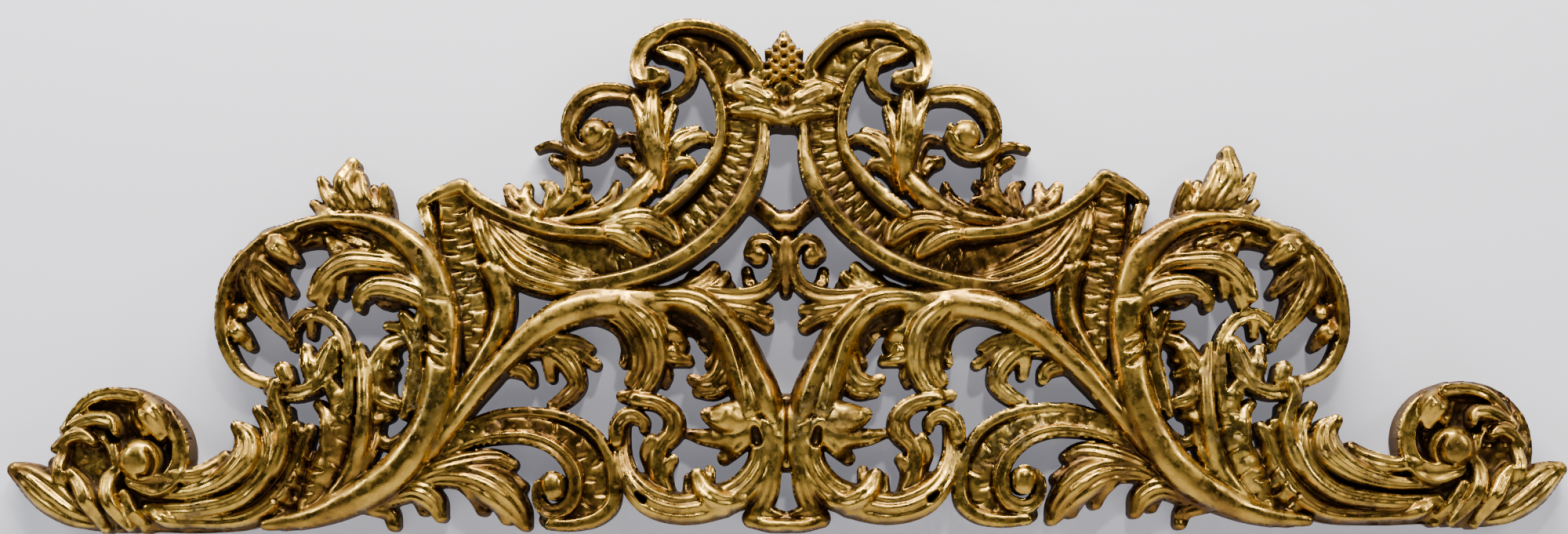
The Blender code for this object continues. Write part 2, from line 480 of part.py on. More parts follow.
def pinecone():
    """The pinecone at the top of the centre line, with its diamond scales cut by crossing gouges."""
    cone_x, cone_top, cone_foot, cone_half = 1000, 47, 112, 22
    strokes = [limb((HIGH, TOP, TOP, HIGH), (cone_x, cone_top, 6), (cone_x, 62, 15), (cone_x, 82, cone_half),
                    (cone_x, cone_foot, 18))]
    cuts = 4
    for k in range(cuts):
        y = cone_top + 14 + 14 * k
        for side in (-1, 1):
            strokes.append(gouge(0.10, (cone_x - side * 24, y + 12, 3), (cone_x, y - 2, 3.5),
                                 (cone_x + side * 24, y - 20, 3)))
    for x, y in ((-19, 66), (19, 66), (-24, 84), (24, 84), (0, 44)):
        strokes.append(limb(HIGH, (cone_x + x, y, 6)))
    return strokes


# How the right half, carved by hand to the same drawing, wanders from the left one: where, how far
# around and by how much, on the mirrored sheet
WANDER = [
    ((820, 160), 170, (17, 3)),
    ((560, 320), 110, (8, -4)),
    ((590, 235), 45, (2, -10)),
    ((330, 390), 140, (12, 2)),
    ((449, 205), 45, (-12, -15)),
    ((187, 582), 95, (-26, -13)),
    ((300, 600), 120, (0, -8)),
    ((650, 610), 120, (-8, -10)),
]


def wander(point):
    """A mirrored stroke's point, moved as the carver's hand moved it."""
    x, y, half_width = point
    dx = dy = 0.0
    for (cx, cy), radius, (sx, sy) in WANDER:
        weight = math.exp(-((x - cx) ** 2 + (y - cy) ** 2) / radius ** 2)
        dx += sx * weight
        dy += sy * weight
    return 2 * AXIS_X - x - dx, y + dy, half_width


def all_strokes():
    """The strokes of the left half, those of the right half and those on the centre line."""
    groups = (end_volute, base_sweep, trunk, scroll_leaves, crown_leaf, strip, great_scroll, plant,
              centre_crest, acanthus, small_scroll, bottom_scroll, bottom_leaf, middle_leaf, foot)
    left = [stroke for group in groups for stroke in group()]
    right = [dict(stroke, points=[wander(point) for point in stroke["points"]]) for stroke in left]
    return sorted(left + right + pinecone(), key=lambda stroke: stroke["kind"] != "add")


def smooth_line(points):
    """Samples along a centripetal Catmull-Rom curve through (x, y, half width) points."""
    known = np.array(points, float)
    if len(known) == 1:
        return known
    known = np.vstack([2 * known[0] - known[1], known, 2 * known[-1] - known[-2]])
    out = []
    for p0, p1, p2, p3 in zip(known[:-3], known[1:-2], known[2:-1], known[3:]):
        t1 = math.dist(p0[:2], p1[:2]) ** 0.5
        t2 = t1 + math.dist(p1[:2], p2[:2]) ** 0.5
        t3 = t2 + math.dist(p2[:2], p3[:2]) ** 0.5
        for t in np.linspace(t1, t2, SPAN_SAMPLES, endpoint=False):
            a1 = ((t1 - t) * p0 + t * p1) / t1
            a2 = ((t2 - t) * p1 + (t - t1) * p2) / (t2 - t1)
            a3 = ((t3 - t) * p2 + (t - t2) * p3) / (t3 - t2)
            b1 = ((t2 - t) * a1 + t * a2) / t2
            b2 = ((t3 - t) * a2 + (t - t1) * a3) / (t3 - t1)
            out.append(((t2 - t) * b1 + (t - t1) * b2) / (t2 - t1))
    out.append(known[-2])
    return np.array(out)


def measure(line, x, y):
    """Margin inside the stroke, place across it from -1 to 1, place along it and local half width."""
    if len(line) == 1:
        d = np.hypot(x - line[0, 0], y - line[0, 1])
        w = line[0, 2]
        return w - d, d / w, np.zeros_like(x), np.full_like(x, w), 1.0
    margin = np.full(x.shape, -1e9)
    across, along, width = np.zeros_like(x), np.zeros_like(x), np.ones_like(x)
    reach = 0.0
    for (px, py, pw), (qx, qy, qw) in zip(line[:-1], line[1:]):
        sx, sy = qx - px, qy - py
        n = math.hypot(sx, sy) or 1e-6
        taper = min(max((qw - pw) / n, -0.9), 0.9)
        off_line = np.abs(sx * (y - py) - sy * (x - px)) / n
        lead = off_line * taper / math.sqrt(1 - taper * taper)
        u = np.clip((((x - px) * sx + (y - py) * sy) / n + lead) / n, 0, 1)
        dx, dy = x - px - u * sx, y - py - u * sy
        w = np.maximum(pw + (qw - pw) * u, 1.0)
        m = w - np.hypot(dx, dy)
        new = m > margin
        side = np.where(sx * dy - sy * dx < 0, -1.0, 1.0)
        margin = np.where(new, m, margin)
        across = np.where(new, side * (w - m) / w, across)
        along = np.where(new, reach + u * n, along)
        width = np.where(new, w, width)
        reach += n
    return margin, across, along, width, reach


def section(stroke, t, along, fade):
    """The stroke's cross-section: 1 on its crown and 0 at its edges."""
    a = np.clip(np.abs(t), 0, 1)
    if stroke["flat"]:
        shape = np.sqrt(1 - a ** stroke["flat"])
    elif stroke["dip"]:
        lip = np.sqrt(np.clip(1 - ((a - 0.68) / 0.32) ** 2, 0, 1))
        shape = np.where(a < 0.68, 1 - stroke["dip"] * (1 - (a / 0.68) ** 2), lip)
    else:
        shape = np.sqrt(1 - a * a)
    if stroke["ribs"] > 1:
        wave = np.abs(np.sin(stroke["ribs"] * math.pi * (t + 1) / 2))
        shape = shape * (1 - RIB_DEPTH * fade * (1 - wave ** 0.7))
    if stroke["cells"]:
        place = along / stroke["cells"] + 0.3 * t * t
        cut = np.clip(1 - np.abs(place % 1 - 0.5) / 0.2, 0, 1)
        side = np.where(np.floor(place) % 2 == 0, t, -t)
        inner = np.clip((0.95 - a) / 0.1, 0, 1)
        shape = shape - CELL_DEPTH * cut * inner * np.clip((side + 0.1) / 0.3, 0, 1)
    return shape


def level(rise, share):
    """The crown's height along a stroke, from one value or a few along it."""
    if isinstance(rise, tuple):
        place = np.clip(share, 0, 1) * (len(rise) - 1)
        before = np.minimum(place.astype(int), len(rise) - 2)
        ease = place - before
        ease = ease * ease * (3 - 2 * ease)
        levels = np.array(rise)
        return levels[before] * (1 - ease) + levels[before + 1] * ease
    return np.full_like(share, rise)


def carve(strokes, x, y):
    """The carving's height in shares of the relief and its margin inside the outline, on a sheet grid."""
    height = np.zeros_like(x)
    joined = np.zeros_like(x)
    holes = np.full(x.shape, FAR_OUTSIDE)
    step = x[0, 1] - x[0, 0]
    least = EDGE_THICKNESS / RELIEF_DEPTH
    for stroke in strokes:
        line = smooth_line(stroke["points"])
        pad = line[:, 2].max() + REACH
        low = line[:, :2].min(axis=0) - pad
        high = line[:, :2].max(axis=0) + pad
        cols = np.clip([(low[0] - x[0, 0]) / step, (high[0] - x[0, 0]) / step], 0, x.shape[1]).astype(int)
        rows = np.clip([(low[1] - y[0, 0]) / step, (high[1] - y[0, 0]) / step], 0, x.shape[0]).astype(int)
        if cols[0] == cols[1] or rows[0] == rows[1]:
            continue
        box = (slice(rows[0], rows[1] + 1), slice(cols[0], cols[1] + 1))
        m, t, along, width, reach = measure(line, x[box], y[box])
        inside = m > 0
        old = height[box]
        if stroke["kind"] == "opening":
            holes[box] = np.minimum(holes[box], -m)
        elif stroke["kind"] == "pocket":
            wall = np.clip(m / EDGE_EASE, 0, 1)
            height[box] = np.where(inside, np.minimum(old, old + (stroke["rise"] - old) * wall), old)
        elif stroke["kind"] == "groove":
            cut = stroke["rise"] * np.clip(1 - np.abs(t), 0, 1)
            height[box] = np.where(inside, np.maximum(old - cut, least), old)
        else:
            crown = level(stroke["rise"], along / reach)
            drop = np.minimum(crown - least, ROUNDNESS * width * UNIT / RELIEF_DEPTH)
            fade = np.clip(np.minimum(along, reach - along) / (RIB_FADE * width), 0, 1)
            new = crown - drop * (1 - section(stroke, t, along, fade))
            near = np.clip(BLEND - np.abs(old - new), 0, BLEND) ** 2 / (4 * BLEND)
            blended = np.maximum(old, new) + near * np.clip(m / EDGE_EASE, 0, 1)
            height[box] = np.where(inside, blended, old)
            joined[box] += np.exp(WEBBING * np.clip(m, -REACH, REACH))
    margin = np.minimum(np.log(joined + 1e-9) / WEBBING, holes)
    return np.where(margin > 0, np.maximum(height, WEB), 0), margin


# Building the solid


def world_x(sheet_x):
    return (sheet_x - AXIS_X) * UNIT


def world_z(sheet_y):
    return (ORIGIN_Y - sheet_y) * UNIT


def outline_cells(x, y, height, margin):
    """Points and polygons of the part of each grid cell that lies inside the outline."""
    points, faces, walls, known = [], [], [], {}
    inside = margin > 0
    rows, cols = x.shape

    def corner(i, j):
        if (i, j) not in known:
            known[(i, j)] = len(points)
            points.append((x[i, j], y[i, j], height[i, j]))
        return known[(i, j)]

    def crossing(a, b):
        key = (min(a, b), max(a, b))
        if key not in known:
            if not inside[a]:
                a, b = b, a
            share = min(max(margin[a] / (margin[a] - margin[b]), LEAST_SHARE), 1 - LEAST_SHARE)
            known[key] = len(points)
            points.append((x[a] + (x[b] - x[a]) * share, y[a] + (y[b] - y[a]) * share, height[a]))
        return known[key]

    busy = inside[:-1, :-1] | inside[1:, :-1] | inside[:-1, 1:] | inside[1:, 1:]
    for i, j in zip(*np.nonzero(busy)):
        ring = [(i, j), (i + 1, j), (i + 1, j + 1), (i, j + 1)]
        face, leaving = [], []
        for a, b in zip(ring, ring[1:] + ring[:1]):
            if inside[a]:
                face.append(corner(*a))
            if inside[a] != inside[b]:
                if inside[a]:
                    leaving.append(len(face))
                face.append(crossing(a, b))
        faces.append(face)
        walls += [(face[k], face[(k + 1) % len(face)]) for k in leaving]
    return points, faces, walls


def solid_mesh(name, grid_step):
    """The carved front, the flat back and the walls between them, as one closed mesh."""
    step = grid_step / UNIT
    across = np.arange(-step, SHEET_WIDTH + 3 * step, step) + AXIS_X - SHEET_WIDTH / 2
    down = np.arange(SHEET_TOP - 2 * step, FOOT_Y + 3 * step, step)
    x, y = np.meshgrid(across, down)
    height, margin = carve(all_strokes(), x, y)
    points, fronts, walls = outline_cells(x, y, height, margin)
    count = len(points)
    front = [(world_x(px), -share * RELIEF_DEPTH, world_z(py)) for px, py, share in points]
    back = [(px, 0.0, pz) for px, _, pz in front]
    faces = [tuple(face) for face in fronts]
    faces += [tuple(k + count for k in reversed(face)) for face in fronts]
    faces += [(end, start, start + count, end + count) for start, end in walls]
    mesh = bpy.data.meshes.new(name)
    mesh.from_pydata(front + back, [], faces)
    return mesh


def simplify(obj, target):
    """Collapses the object's mesh to about `target` triangles and keeps its back flat."""
    triangles = sum(len(face.vertices) - 2 for face in obj.data.polygons)
    collapse = obj.modifiers.new("Fewer faces", "DECIMATE")
    collapse.ratio = min(target / triangles, 1)
    collapse.use_collapse_triangulate = True
    seen = obj.evaluated_get(bpy.context.evaluated_depsgraph_get())
    mesh = bpy.data.meshes.new_from_object(seen)
    obj.modifiers.clear()
    obj.data = mesh
    for vertex in mesh.vertices:
        if vertex.co.y > -BACK_SNAP:
            vertex.co.y = 0.0


def gilding():
    material = bpy.data.materials.new("Gilding")
    material.use_nodes = True
    shader = material.node_tree.nodes["Principled BSDF"]
    shader.inputs["Base Color"].default_value = (0.50, 0.29, 0.06, 1)
    shader.inputs["Metallic"].default_value = 0.85
    shader.inputs["Roughness"].default_value = 0.36
    return material


for old in list(bpy.data.objects):
    bpy.data.objects.remove(old)

parts = bpy.data.collections.new("Giltwood overdoor panel")
bpy.context.scene.collection.children.link(parts)
panel = bpy.data.objects.new("carved_panel", solid_mesh("carved_panel", GRID_STEP))
parts.objects.link(panel)
panel.data.materials.append(gilding())
simplify(panel, FACE_TARGET)
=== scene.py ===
"""The giltwood overdoor panel dressed for its photograph: fine relief, worn gold leaf, wall and light.

The carving repeats the drawing that the solid is made from, with finer steps and tool marks.
"""

import math

import bpy
import numpy as np
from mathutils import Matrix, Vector


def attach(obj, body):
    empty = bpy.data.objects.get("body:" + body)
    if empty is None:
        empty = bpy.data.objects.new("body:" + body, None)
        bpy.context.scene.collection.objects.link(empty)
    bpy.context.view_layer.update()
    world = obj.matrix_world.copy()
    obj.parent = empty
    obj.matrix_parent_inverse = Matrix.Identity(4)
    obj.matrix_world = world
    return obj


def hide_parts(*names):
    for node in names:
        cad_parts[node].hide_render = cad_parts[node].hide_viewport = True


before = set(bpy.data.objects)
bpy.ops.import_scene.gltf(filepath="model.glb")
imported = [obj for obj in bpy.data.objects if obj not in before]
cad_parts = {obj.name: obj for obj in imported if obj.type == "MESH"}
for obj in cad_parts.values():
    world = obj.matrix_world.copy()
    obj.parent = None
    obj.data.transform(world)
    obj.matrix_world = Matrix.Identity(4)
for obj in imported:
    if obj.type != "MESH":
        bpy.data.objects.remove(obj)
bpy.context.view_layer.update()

# Sizes in metres, as the solid has them
PANEL_WIDTH = 1.500
RELIEF_DEPTH = 0.062
EDGE_THICKNESS = 0.014
RELIEF_STEP = 0.00100
LEAST_SHARE = 0.12
RELIEF_TRIANGLES = 196000

# The drawing sheet, in its own units: the panel is SHEET_WIDTH wide and its foot is at FOOT_Y
SHEET_WIDTH = 1974.0
AXIS_X = 1003.0
FOOT_Y = 680.0
SHEET_TOP = 20.0
ORIGIN_Y = 552.0
UNIT = PANEL_WIDTH / SHEET_WIDTH

# Heights of the carving, as shares of the relief's depth
PIT = 0.26
GROUND = 0.46
LOW = 0.50
MID = 0.61
HIGH = 0.76
TOP = 0.94
CHANNEL = 0.62
# A stroke's rounded edge drops by this many times its half width
ROUNDNESS = 0.95
SPAN_SAMPLES = 8
# Strokes that pass closer than a few sheet units are joined by a low web of wood
WEBBING = 0.6
WEB = 0.40
# Where two strokes' surfaces are this close in height, they are blended instead of creased
BLEND = 0.07
# How far outside a stroke it still joins its neighbours, and the width of an eased edge, in sheet units
REACH = 16
EDGE_EASE = 3
FAR_OUTSIDE = 40.0
# Ribs fade out this many half widths from a stroke's ends
RIB_FADE = 1.4
RIB_DEPTH = 0.36
CELL_DEPTH = 0.28


def limb(rise, *points, ribs=1, flat=0, dip=0, cells=0):
    """A stroke that adds wood. Its points are (x, y, half width)."""
    return dict(kind="add", rise=rise, points=points, ribs=ribs, flat=flat, dip=dip, cells=cells)


def leaf(rise, *points):
    """A leaf finger, with more veins where it is broad."""
    broad = max(point[2] for point in points)
    return limb(rise, *points, ribs=1 if broad < 8.5 else 2 if broad < 15 else 3)


def band(rise, *points):
    """A scroll's band: a hollow between two lips."""
    return limb(rise, *points, dip=0.34)


def fillet(rise, *points):
    """A flat-topped rim."""
    return limb(rise, *points, flat=5)


def plate(*points):
    """The board that is left at ground level behind the carving."""
    return limb(GROUND, *points, flat=9)


def flutes(rise, cells, *points):
    """A channel with gouge cuts across it, one about every `cells` along."""
    return limb(rise, *points, flat=7, cells=cells)


def hollow(floor, *points):
    """A dark pocket cut down to a floor."""
    return dict(kind="pocket", rise=floor, points=points)


def gouge(depth, *points):
    """A tapered cut made with a gouge."""
    return dict(kind="groove", rise=depth, points=points)


def opening(*points):
    """A hole right through the board."""
    return dict(kind="opening", rise=0, points=points)


def end_volute():
    """The scroll that ends the panel, its leaf fingers and the leaf tongue beyond it."""
    return [
        limb(LOW, (163, 584, 83), flat=9),
        plate((76, 592, 10), (110, 606, 28), (130, 640, 28), (170, 652, 24)),
        band((MID, HIGH, HIGH), (150, 507, 7), (178, 507, 10), (208, 521, 11), (231, 550, 12),
             (238, 580, 12), (230, 606, 13), (207, 619, 15), (182, 611, 15)),
        band((MID, HIGH), (90, 546, 6), (106, 524, 7), (124, 509, 8), (150, 503, 8), (180, 506, 9)),
        limb(MID, (133, 509, 6), (118, 514, 6), (115, 523, 5), (124, 527, 4)),
        limb(TOP, (188, 587, 28), flat=3),
        leaf((MID, TOP, HIGH), (180, 508, 8), (195, 522, 16), (208, 540, 17), (213, 556, 9)),
        leaf((LOW, HIGH), (172, 516, 8), (184, 533, 11), (194, 550, 9)),
        leaf((MID, TOP), (88, 549, 6), (108, 540, 9), (132, 535, 10), (150, 539, 10), (157, 552, 6)),
        leaf((MID, HIGH), (78, 572, 6), (94, 559, 9), (112, 555, 9), (128, 564, 6)),
        leaf((MID, HIGH), (118, 552, 6), (138, 556, 9), (151, 570, 9), (157, 588, 7)),
        leaf((MID, HIGH, MID), (90, 572, 7), (84, 592, 9), (88, 615, 9), (98, 632, 7)),
        leaf((HIGH, TOP, MID), (100, 603, 7), (112, 618, 11), (126, 643, 11), (143, 672, 7)),
        leaf((MID, MID, LOW), (88, 622, 8), (104, 642, 10), (122, 664, 8)),
        leaf((HIGH, TOP, HIGH), (160, 596, 8), (148, 614, 11), (150, 636, 11), (162, 656, 9),
             (176, 672, 6)),
        leaf((MID, MID, LOW), (134, 628, 8), (146, 650, 9), (160, 671, 7)),
        leaf((HIGH, HIGH, LOW), (168, 630, 8), (177, 652, 10), (193, 672, 7)),
        leaf((MID, HIGH, LOW), (198, 646, 7), (214, 659, 9), (243, 669, 5)),
        leaf((MID, HIGH, HIGH, LOW), (27, 599, 10), (46, 609, 19), (72, 630, 24), (104, 652, 19),
             (140, 667, 8)),
        hollow(PIT, (214, 602, 3), (222, 586, 5), (224, 566, 4)),
        gouge(0.18, (198, 574, 2), (205, 588, 5), (200, 604, 4), (186, 608, 2)),
        hollow(PIT, (146, 548, 4), (152, 560, 5)),
    ]


def base_sweep():
    """The leaves that rise from the foot between the end volute and the trunk."""
    return [
        limb((LOW, LOW), (130, 660, 15), (200, 655, 22), (270, 652, 26), (330, 640, 30),
             (372, 604, 34), flat=3),
        leaf((HIGH, HIGH, MID), (225, 608, 9), (258, 606, 11), (282, 595, 12), (294, 583, 9)),
        leaf((MID, HIGH, TOP, HIGH), (205, 630, 8), (258, 626, 11), (300, 607, 15), (322, 580, 19),
             (321, 558, 15), (309, 545, 8)),
        leaf((MID, HIGH, HIGH, MID), (195, 648, 9), (258, 648, 11), (312, 634, 13), (342, 603, 14),
             (351, 570, 12), (346, 542, 11), (334, 524, 8)),
        leaf((MID, HIGH, HIGH), (332, 628, 8), (359, 590, 11), (367, 555, 10), (362, 530, 9),
             (354, 508, 9), (357, 490, 8)),
        leaf((MID, HIGH, MID), (350, 570, 6), (369, 545, 8), (369, 524, 7)),
        leaf((MID, MID, MID), (225, 664, 8), (320, 658, 11), (360, 630, 13), (382, 592, 14),
             (390, 562, 13), (399, 549, 9)),
        leaf((LOW, MID), (382, 572, 8), (384, 554, 8), (381, 542, 6)),
        limb((MID, HIGH, HIGH, MID), (440, 600, 10), (424, 574, 10), (423, 548, 9), (420, 529, 9),
             (411, 517, 8)),
        limb((MID, HIGH, HIGH, HIGH), (396, 648, 13), (414, 612, 19), (429, 580, 20), (440, 548, 17),
             (438, 515, 14), (424, 490, 10), cells=15),
        limb((LOW, HIGH, TOP, HIGH), (365, 669, 6), (400, 655, 9), (432, 630, 10), (455, 598, 11),
             (466, 565, 11), (470, 520, 10), (468, 480, 10), (464, 455, 8), (461, 442, 5)),
        limb((LOW, MID, HIGH, MID), (385, 668, 5), (425, 648, 7), (455, 618, 8), (478, 575, 8),
             (484, 540, 6)),
        limb(LOW, (360, 650, 14), (374, 628, 17), (390, 602, 15), (401, 584, 10), flat=3),
        gouge(0.08, (392, 584, 2), (402, 596, 5), (416, 600, 2)),
        gouge(0.08, (382, 600, 2), (392, 612, 5), (406, 616, 2)),
        gouge(0.08, (372, 618, 2), (382, 630, 5), (396, 634, 2)),
        gouge(0.08, (354, 634, 2), (366, 646, 5), (382, 650, 2)),
    ]


def trunk():
    """The trunk that springs from the foot and curls over as the large left scroll."""
    return [
        limb((MID, TOP, TOP, TOP, HIGH, HIGH, MID), (345, 668, 7), (400, 659, 13), (458, 635, 19),
             (508, 602, 22), (542, 556, 21), (560, 508, 21), (567, 460, 21), (568, 410, 21),
             (560, 370, 20), (545, 335, 20), (520, 308, 16), (490, 289, 13), (450, 280, 8),
             (410, 281, 6), (370, 292, 7), (336, 309, 8), (309, 333, 8), (293, 360, 8), (286, 395, 8),
             (287, 425, 8), (295, 450, 8), (309, 472, 8), (330, 486, 8), (352, 490, 8)),
        plate((372, 303, 13), (410, 298, 17), (450, 302, 24), (490, 318, 30), (530, 350, 26)),
        limb(LOW, (500, 316, 14), (455, 297, 12), (410, 298, 11), (378, 309, 9), flat=3),
        leaf((MID, HIGH, TOP), (430, 322, 11), (458, 320, 15), (496, 334, 16), (530, 357, 16),
             (556, 394, 15)),
        leaf((LOW, HIGH), (424, 303, 8), (448, 306, 9), (470, 316, 7)),
        leaf((MID, HIGH), (450, 289, 6), (472, 303, 9), (502, 322, 10), (534, 346, 10)),
        leaf((HIGH, HIGH), (540, 400, 8), (536, 440, 8), (530, 480, 8), (520, 530, 7)),
        gouge(0.10, (543, 418, 2), (558, 430, 6), (572, 436, 2)),
        gouge(0.10, (545, 434, 2), (560, 446, 6), (574, 452, 2)),
        gouge(0.10, (546, 452, 2), (560, 464, 6), (572, 470, 2)),
        gouge(0.07, (550, 384, 2), (576, 386, 2), (590, 384, 2)),
    ]


def scroll_leaves():
    """The leaf work inside the large scroll."""
    return [
        leaf((HIGH, HIGH, HIGH, HIGH, MID), (372, 298, 12), (345, 308, 16), (328, 330, 18),
             (322, 358, 18), (336, 388, 14), (355, 412, 11), (373, 430, 8)),
        limb((MID, MID), (352, 318, 20), (338, 345, 25), (340, 376, 17), (352, 400, 10)),
        leaf((HIGH, TOP, HIGH), (340, 306, 11), (358, 318, 14), (376, 332, 8)),
        leaf((HIGH, HIGH, MID), (330, 335, 13), (350, 352, 14), (370, 372, 8)),
        limb((MID, MID), (304, 346, 12), (294, 382, 10)),
        leaf((MID, HIGH, MID), (298, 395, 10), (312, 398, 9), (318, 388, 6)),
        leaf((MID, HIGH, LOW), (293, 408, 9), (306, 424, 11), (320, 442, 7)),
        leaf((HIGH, HIGH, TOP, HIGH), (562, 385, 13), (528, 347, 15), (482, 336, 14), (440, 338, 16),
             (415, 356, 13), (403, 378, 9)),
        limb((MID, MID), (540, 362, 20), (490, 348, 20), (448, 340, 20), (426, 350, 16)),
        limb((MID, MID), (508, 382, 12), (488, 384, 9)),
        leaf((MID, HIGH, MID), (450, 330, 12), (432, 318, 12), (420, 306, 7)),
        leaf((HIGH, HIGH, MID), (425, 352, 12), (416, 378, 10), (410, 396, 7)),
        leaf((HIGH, MID), (440, 350, 11), (436, 376, 7)),
        leaf((HIGH, TOP, TOP, HIGH), (562, 404, 12), (538, 381, 15), (506, 369, 16), (478, 369, 13),
             (461, 382, 9), (460, 394, 6)),
        leaf((HIGH, MID), (500, 376, 12), (497, 388, 7)),
        leaf((HIGH, HIGH, MID), (518, 404, 8), (532, 424, 11), (546, 452, 11)),
        leaf((MID, HIGH, HIGH), (497, 417, 7), (515, 420, 8), (530, 440, 9), (536, 470, 9),
             (536, 500, 8), (528, 522, 6)),
        leaf((MID, HIGH), (521, 402, 6), (530, 418, 8), (540, 445, 9)),
        leaf((MID, HIGH, HIGH, MID), (524, 432, 8), (500, 440, 12), (485, 462, 14), (480, 500, 14),
             (482, 545, 11)),
        limb((MID, MID), (496, 446, 14), (488, 480, 17), (492, 515, 14)),
        leaf((HIGH, MID), (492, 450, 11), (505, 460, 7)),
        leaf((HIGH, MID), (488, 475, 11), (503, 478, 7)),
        leaf((HIGH, HIGH, MID), (482, 505, 12), (502, 514, 11), (525, 521, 8)),
        leaf((HIGH, MID), (480, 535, 9), (498, 530, 8)),
        leaf((MID, MID, LOW), (484, 558, 9), (497, 568, 9), (515, 560, 8), (529, 540, 6)),
        band((LOW, MID, HIGH, HIGH), (376, 443, 6), (373, 425, 8), (382, 408, 9), (402, 401, 9),
             (423, 409, 9), (439, 427, 9), (447, 450, 8), (450, 480, 8), (449, 525, 8)),
        leaf((MID, LOW), (398, 408, 8), (398, 428, 6)),
        limb(HIGH, (372, 486, 8), (365, 473, 11)),
        limb((MID, MID), (415, 462, 14), (404, 488, 14)),
        leaf((MID, HIGH, HIGH), (393, 446, 8), (398, 466, 11), (404, 488, 10)),
        leaf((HIGH, HIGH, MID), (430, 437, 9), (421, 458, 15), (412, 480, 15), (396, 497, 10)),
        band((MID, HIGH, HIGH), (348, 498, 8), (378, 503, 10), (405, 494, 9), (425, 475, 9),
             (429, 450, 8)),
        leaf((HIGH, MID), (438, 505, 9), (424, 492, 8)),
        limb((MID, MID), (430, 545, 9), (446, 520, 9), (450, 480, 7)),
    ]


def crown_leaf():
    """The leaf that stands on the large scroll."""
    return [
        plate((415, 273, 9), (450, 266, 18), (485, 270, 14)),
        leaf((MID, HIGH, HIGH, MID), (462, 284, 14), (448, 258, 15), (437, 236, 13), (448, 209, 9)),
        leaf((MID, HIGH, MID), (450, 284, 12), (430, 262, 12), (416, 245, 9), (409, 230, 6)),
        leaf((MID, HIGH, MID), (440, 286, 12), (418, 275, 10), (401, 261, 7)),
        leaf((MID, HIGH, MID), (472, 286, 12), (467, 262, 12), (460, 242, 10), (456, 222, 7)),
        leaf((MID, HIGH, MID), (486, 292, 12), (484, 265, 11), (477, 243, 8)),
        leaf((MID, HIGH), (496, 294, 8), (493, 262, 9), (490, 241, 6)),
    ]


def strip():
    """The square-cornered strip beside the trunk, with its shell-like body."""
    return [
        plate((574, 266, 20), (578, 300, 26), (588, 345, 26), (600, 395, 24), (604, 440, 15),
             (600, 470, 10)),
        plate((600, 268, 14), (608, 300, 18), (618, 335, 18), (620, 390, 18), (612, 440, 12)),
        limb(CHANNEL, (622, 286, 18), (655, 316, 30), (700, 330, 33), (750, 332, 31), flat=9),
        flutes(CHANNEL, 10.5, (578, 257, 22), (584, 300, 25), (592, 350, 27), (602, 395, 24),
             (604, 430, 15), (602, 458, 8)),
        fillet((MID, HIGH), (540, 258, 7), (563, 246, 8), (588, 237, 9)),
        fillet((MID, HIGH, MID), (539, 262, 8), (547, 285, 8), (552, 310, 7), (559, 334, 5)),
        limb((MID, HIGH, TOP, HIGH, MID), (614, 274, 8), (634, 304, 19), (664, 337, 29),
             (702, 354, 27), (745, 362, 18), (785, 363, 10), ribs=5),
        plate((705, 330, 12), (740, 334, 18), (790, 330, 18)),
        fillet((HIGH, HIGH, TOP), (589, 237, 9), (612, 257, 9), (640, 272, 9), (670, 284, 9),
             (700, 293, 9), (730, 298, 8), (765, 300, 9)),
        limb((HIGH, HIGH, HIGH, MID), (628, 346, 12), (641, 366, 15), (645, 394, 14), (638, 424, 14),
             (622, 452, 11), (598, 488, 9), (565, 533, 8), (530, 582, 6)),
        limb((MID, HIGH, HIGH), (612, 350, 7), (622, 344, 9), (634, 350, 10)),
        leaf((MID, HIGH, HIGH), (605, 268, 6), (611, 290, 10), (619, 312, 11), (632, 334, 9)),
    ]


def great_scroll():
    """The great C-scroll: a fluted channel between two rims, curled at its top."""
    return [
        plate((848, 54, 14), (885, 52, 20), (920, 64, 26), (943, 94, 30), (948, 130, 30),
             (948, 170, 28), (940, 215, 28), (915, 258, 30), (880, 298, 32), (840, 325, 32),
             (790, 335, 30), (740, 340, 28)),
        flutes((CHANNEL, MID, MID, CHANNEL), 19, (840, 62, 11), (880, 56, 17), (914, 70, 19), (935, 98, 21),
             (945, 130, 24)),
        flutes(CHANNEL, 8.5, (945, 130, 24), (948, 170, 25), (942, 210, 25), (919, 250, 26), (887, 285, 26),
             (849, 310, 25), (800, 327, 24), (750, 331, 24), (720, 325, 22)),
        fillet((HIGH, TOP, HIGH), (975, 97, 8), (957, 69, 8), (930, 45, 7), (895, 33, 7), (865, 32, 7),
             (840, 40, 8)),
        band((HIGH, HIGH, TOP), (845, 40, 8), (822, 56, 10), (813, 78, 10), (817, 96, 12),
             (832, 98, 12)),
        limb(TOP, (832, 98, 13), (845, 98, 9)),
        band((HIGH, TOP, HIGH, MID), (842, 63, 6), (860, 67, 12), (876, 76, 10), (882, 93, 8),
             (875, 110, 7), (860, 120, 6), (843, 123, 5)),
        fillet((HIGH, HIGH, TOP), (880, 72, 7), (900, 88, 7), (913, 115, 7), (920, 145, 7),
             (920, 172, 7), (911, 200, 8), (893, 224, 9), (868, 250, 9), (842, 271, 9)),
        fillet((HIGH, TOP, TOP, HIGH), (975, 108, 6), (974, 170, 7), (972, 200, 9), (962, 232, 11),
             (942, 268, 11), (915, 298, 11), (880, 325, 11), (845, 344, 11), (800, 358, 11),
             (750, 366, 11), (712, 366, 9)),
        leaf((HIGH, TOP, HIGH), (750, 299, 9), (785, 300, 12), (808, 309, 15), (825, 323, 9)),
        leaf((MID, TOP, HIGH), (740, 288, 8), (785, 286, 10), (820, 281, 16), (847, 290, 18),
             (862, 307, 9)),
    ]


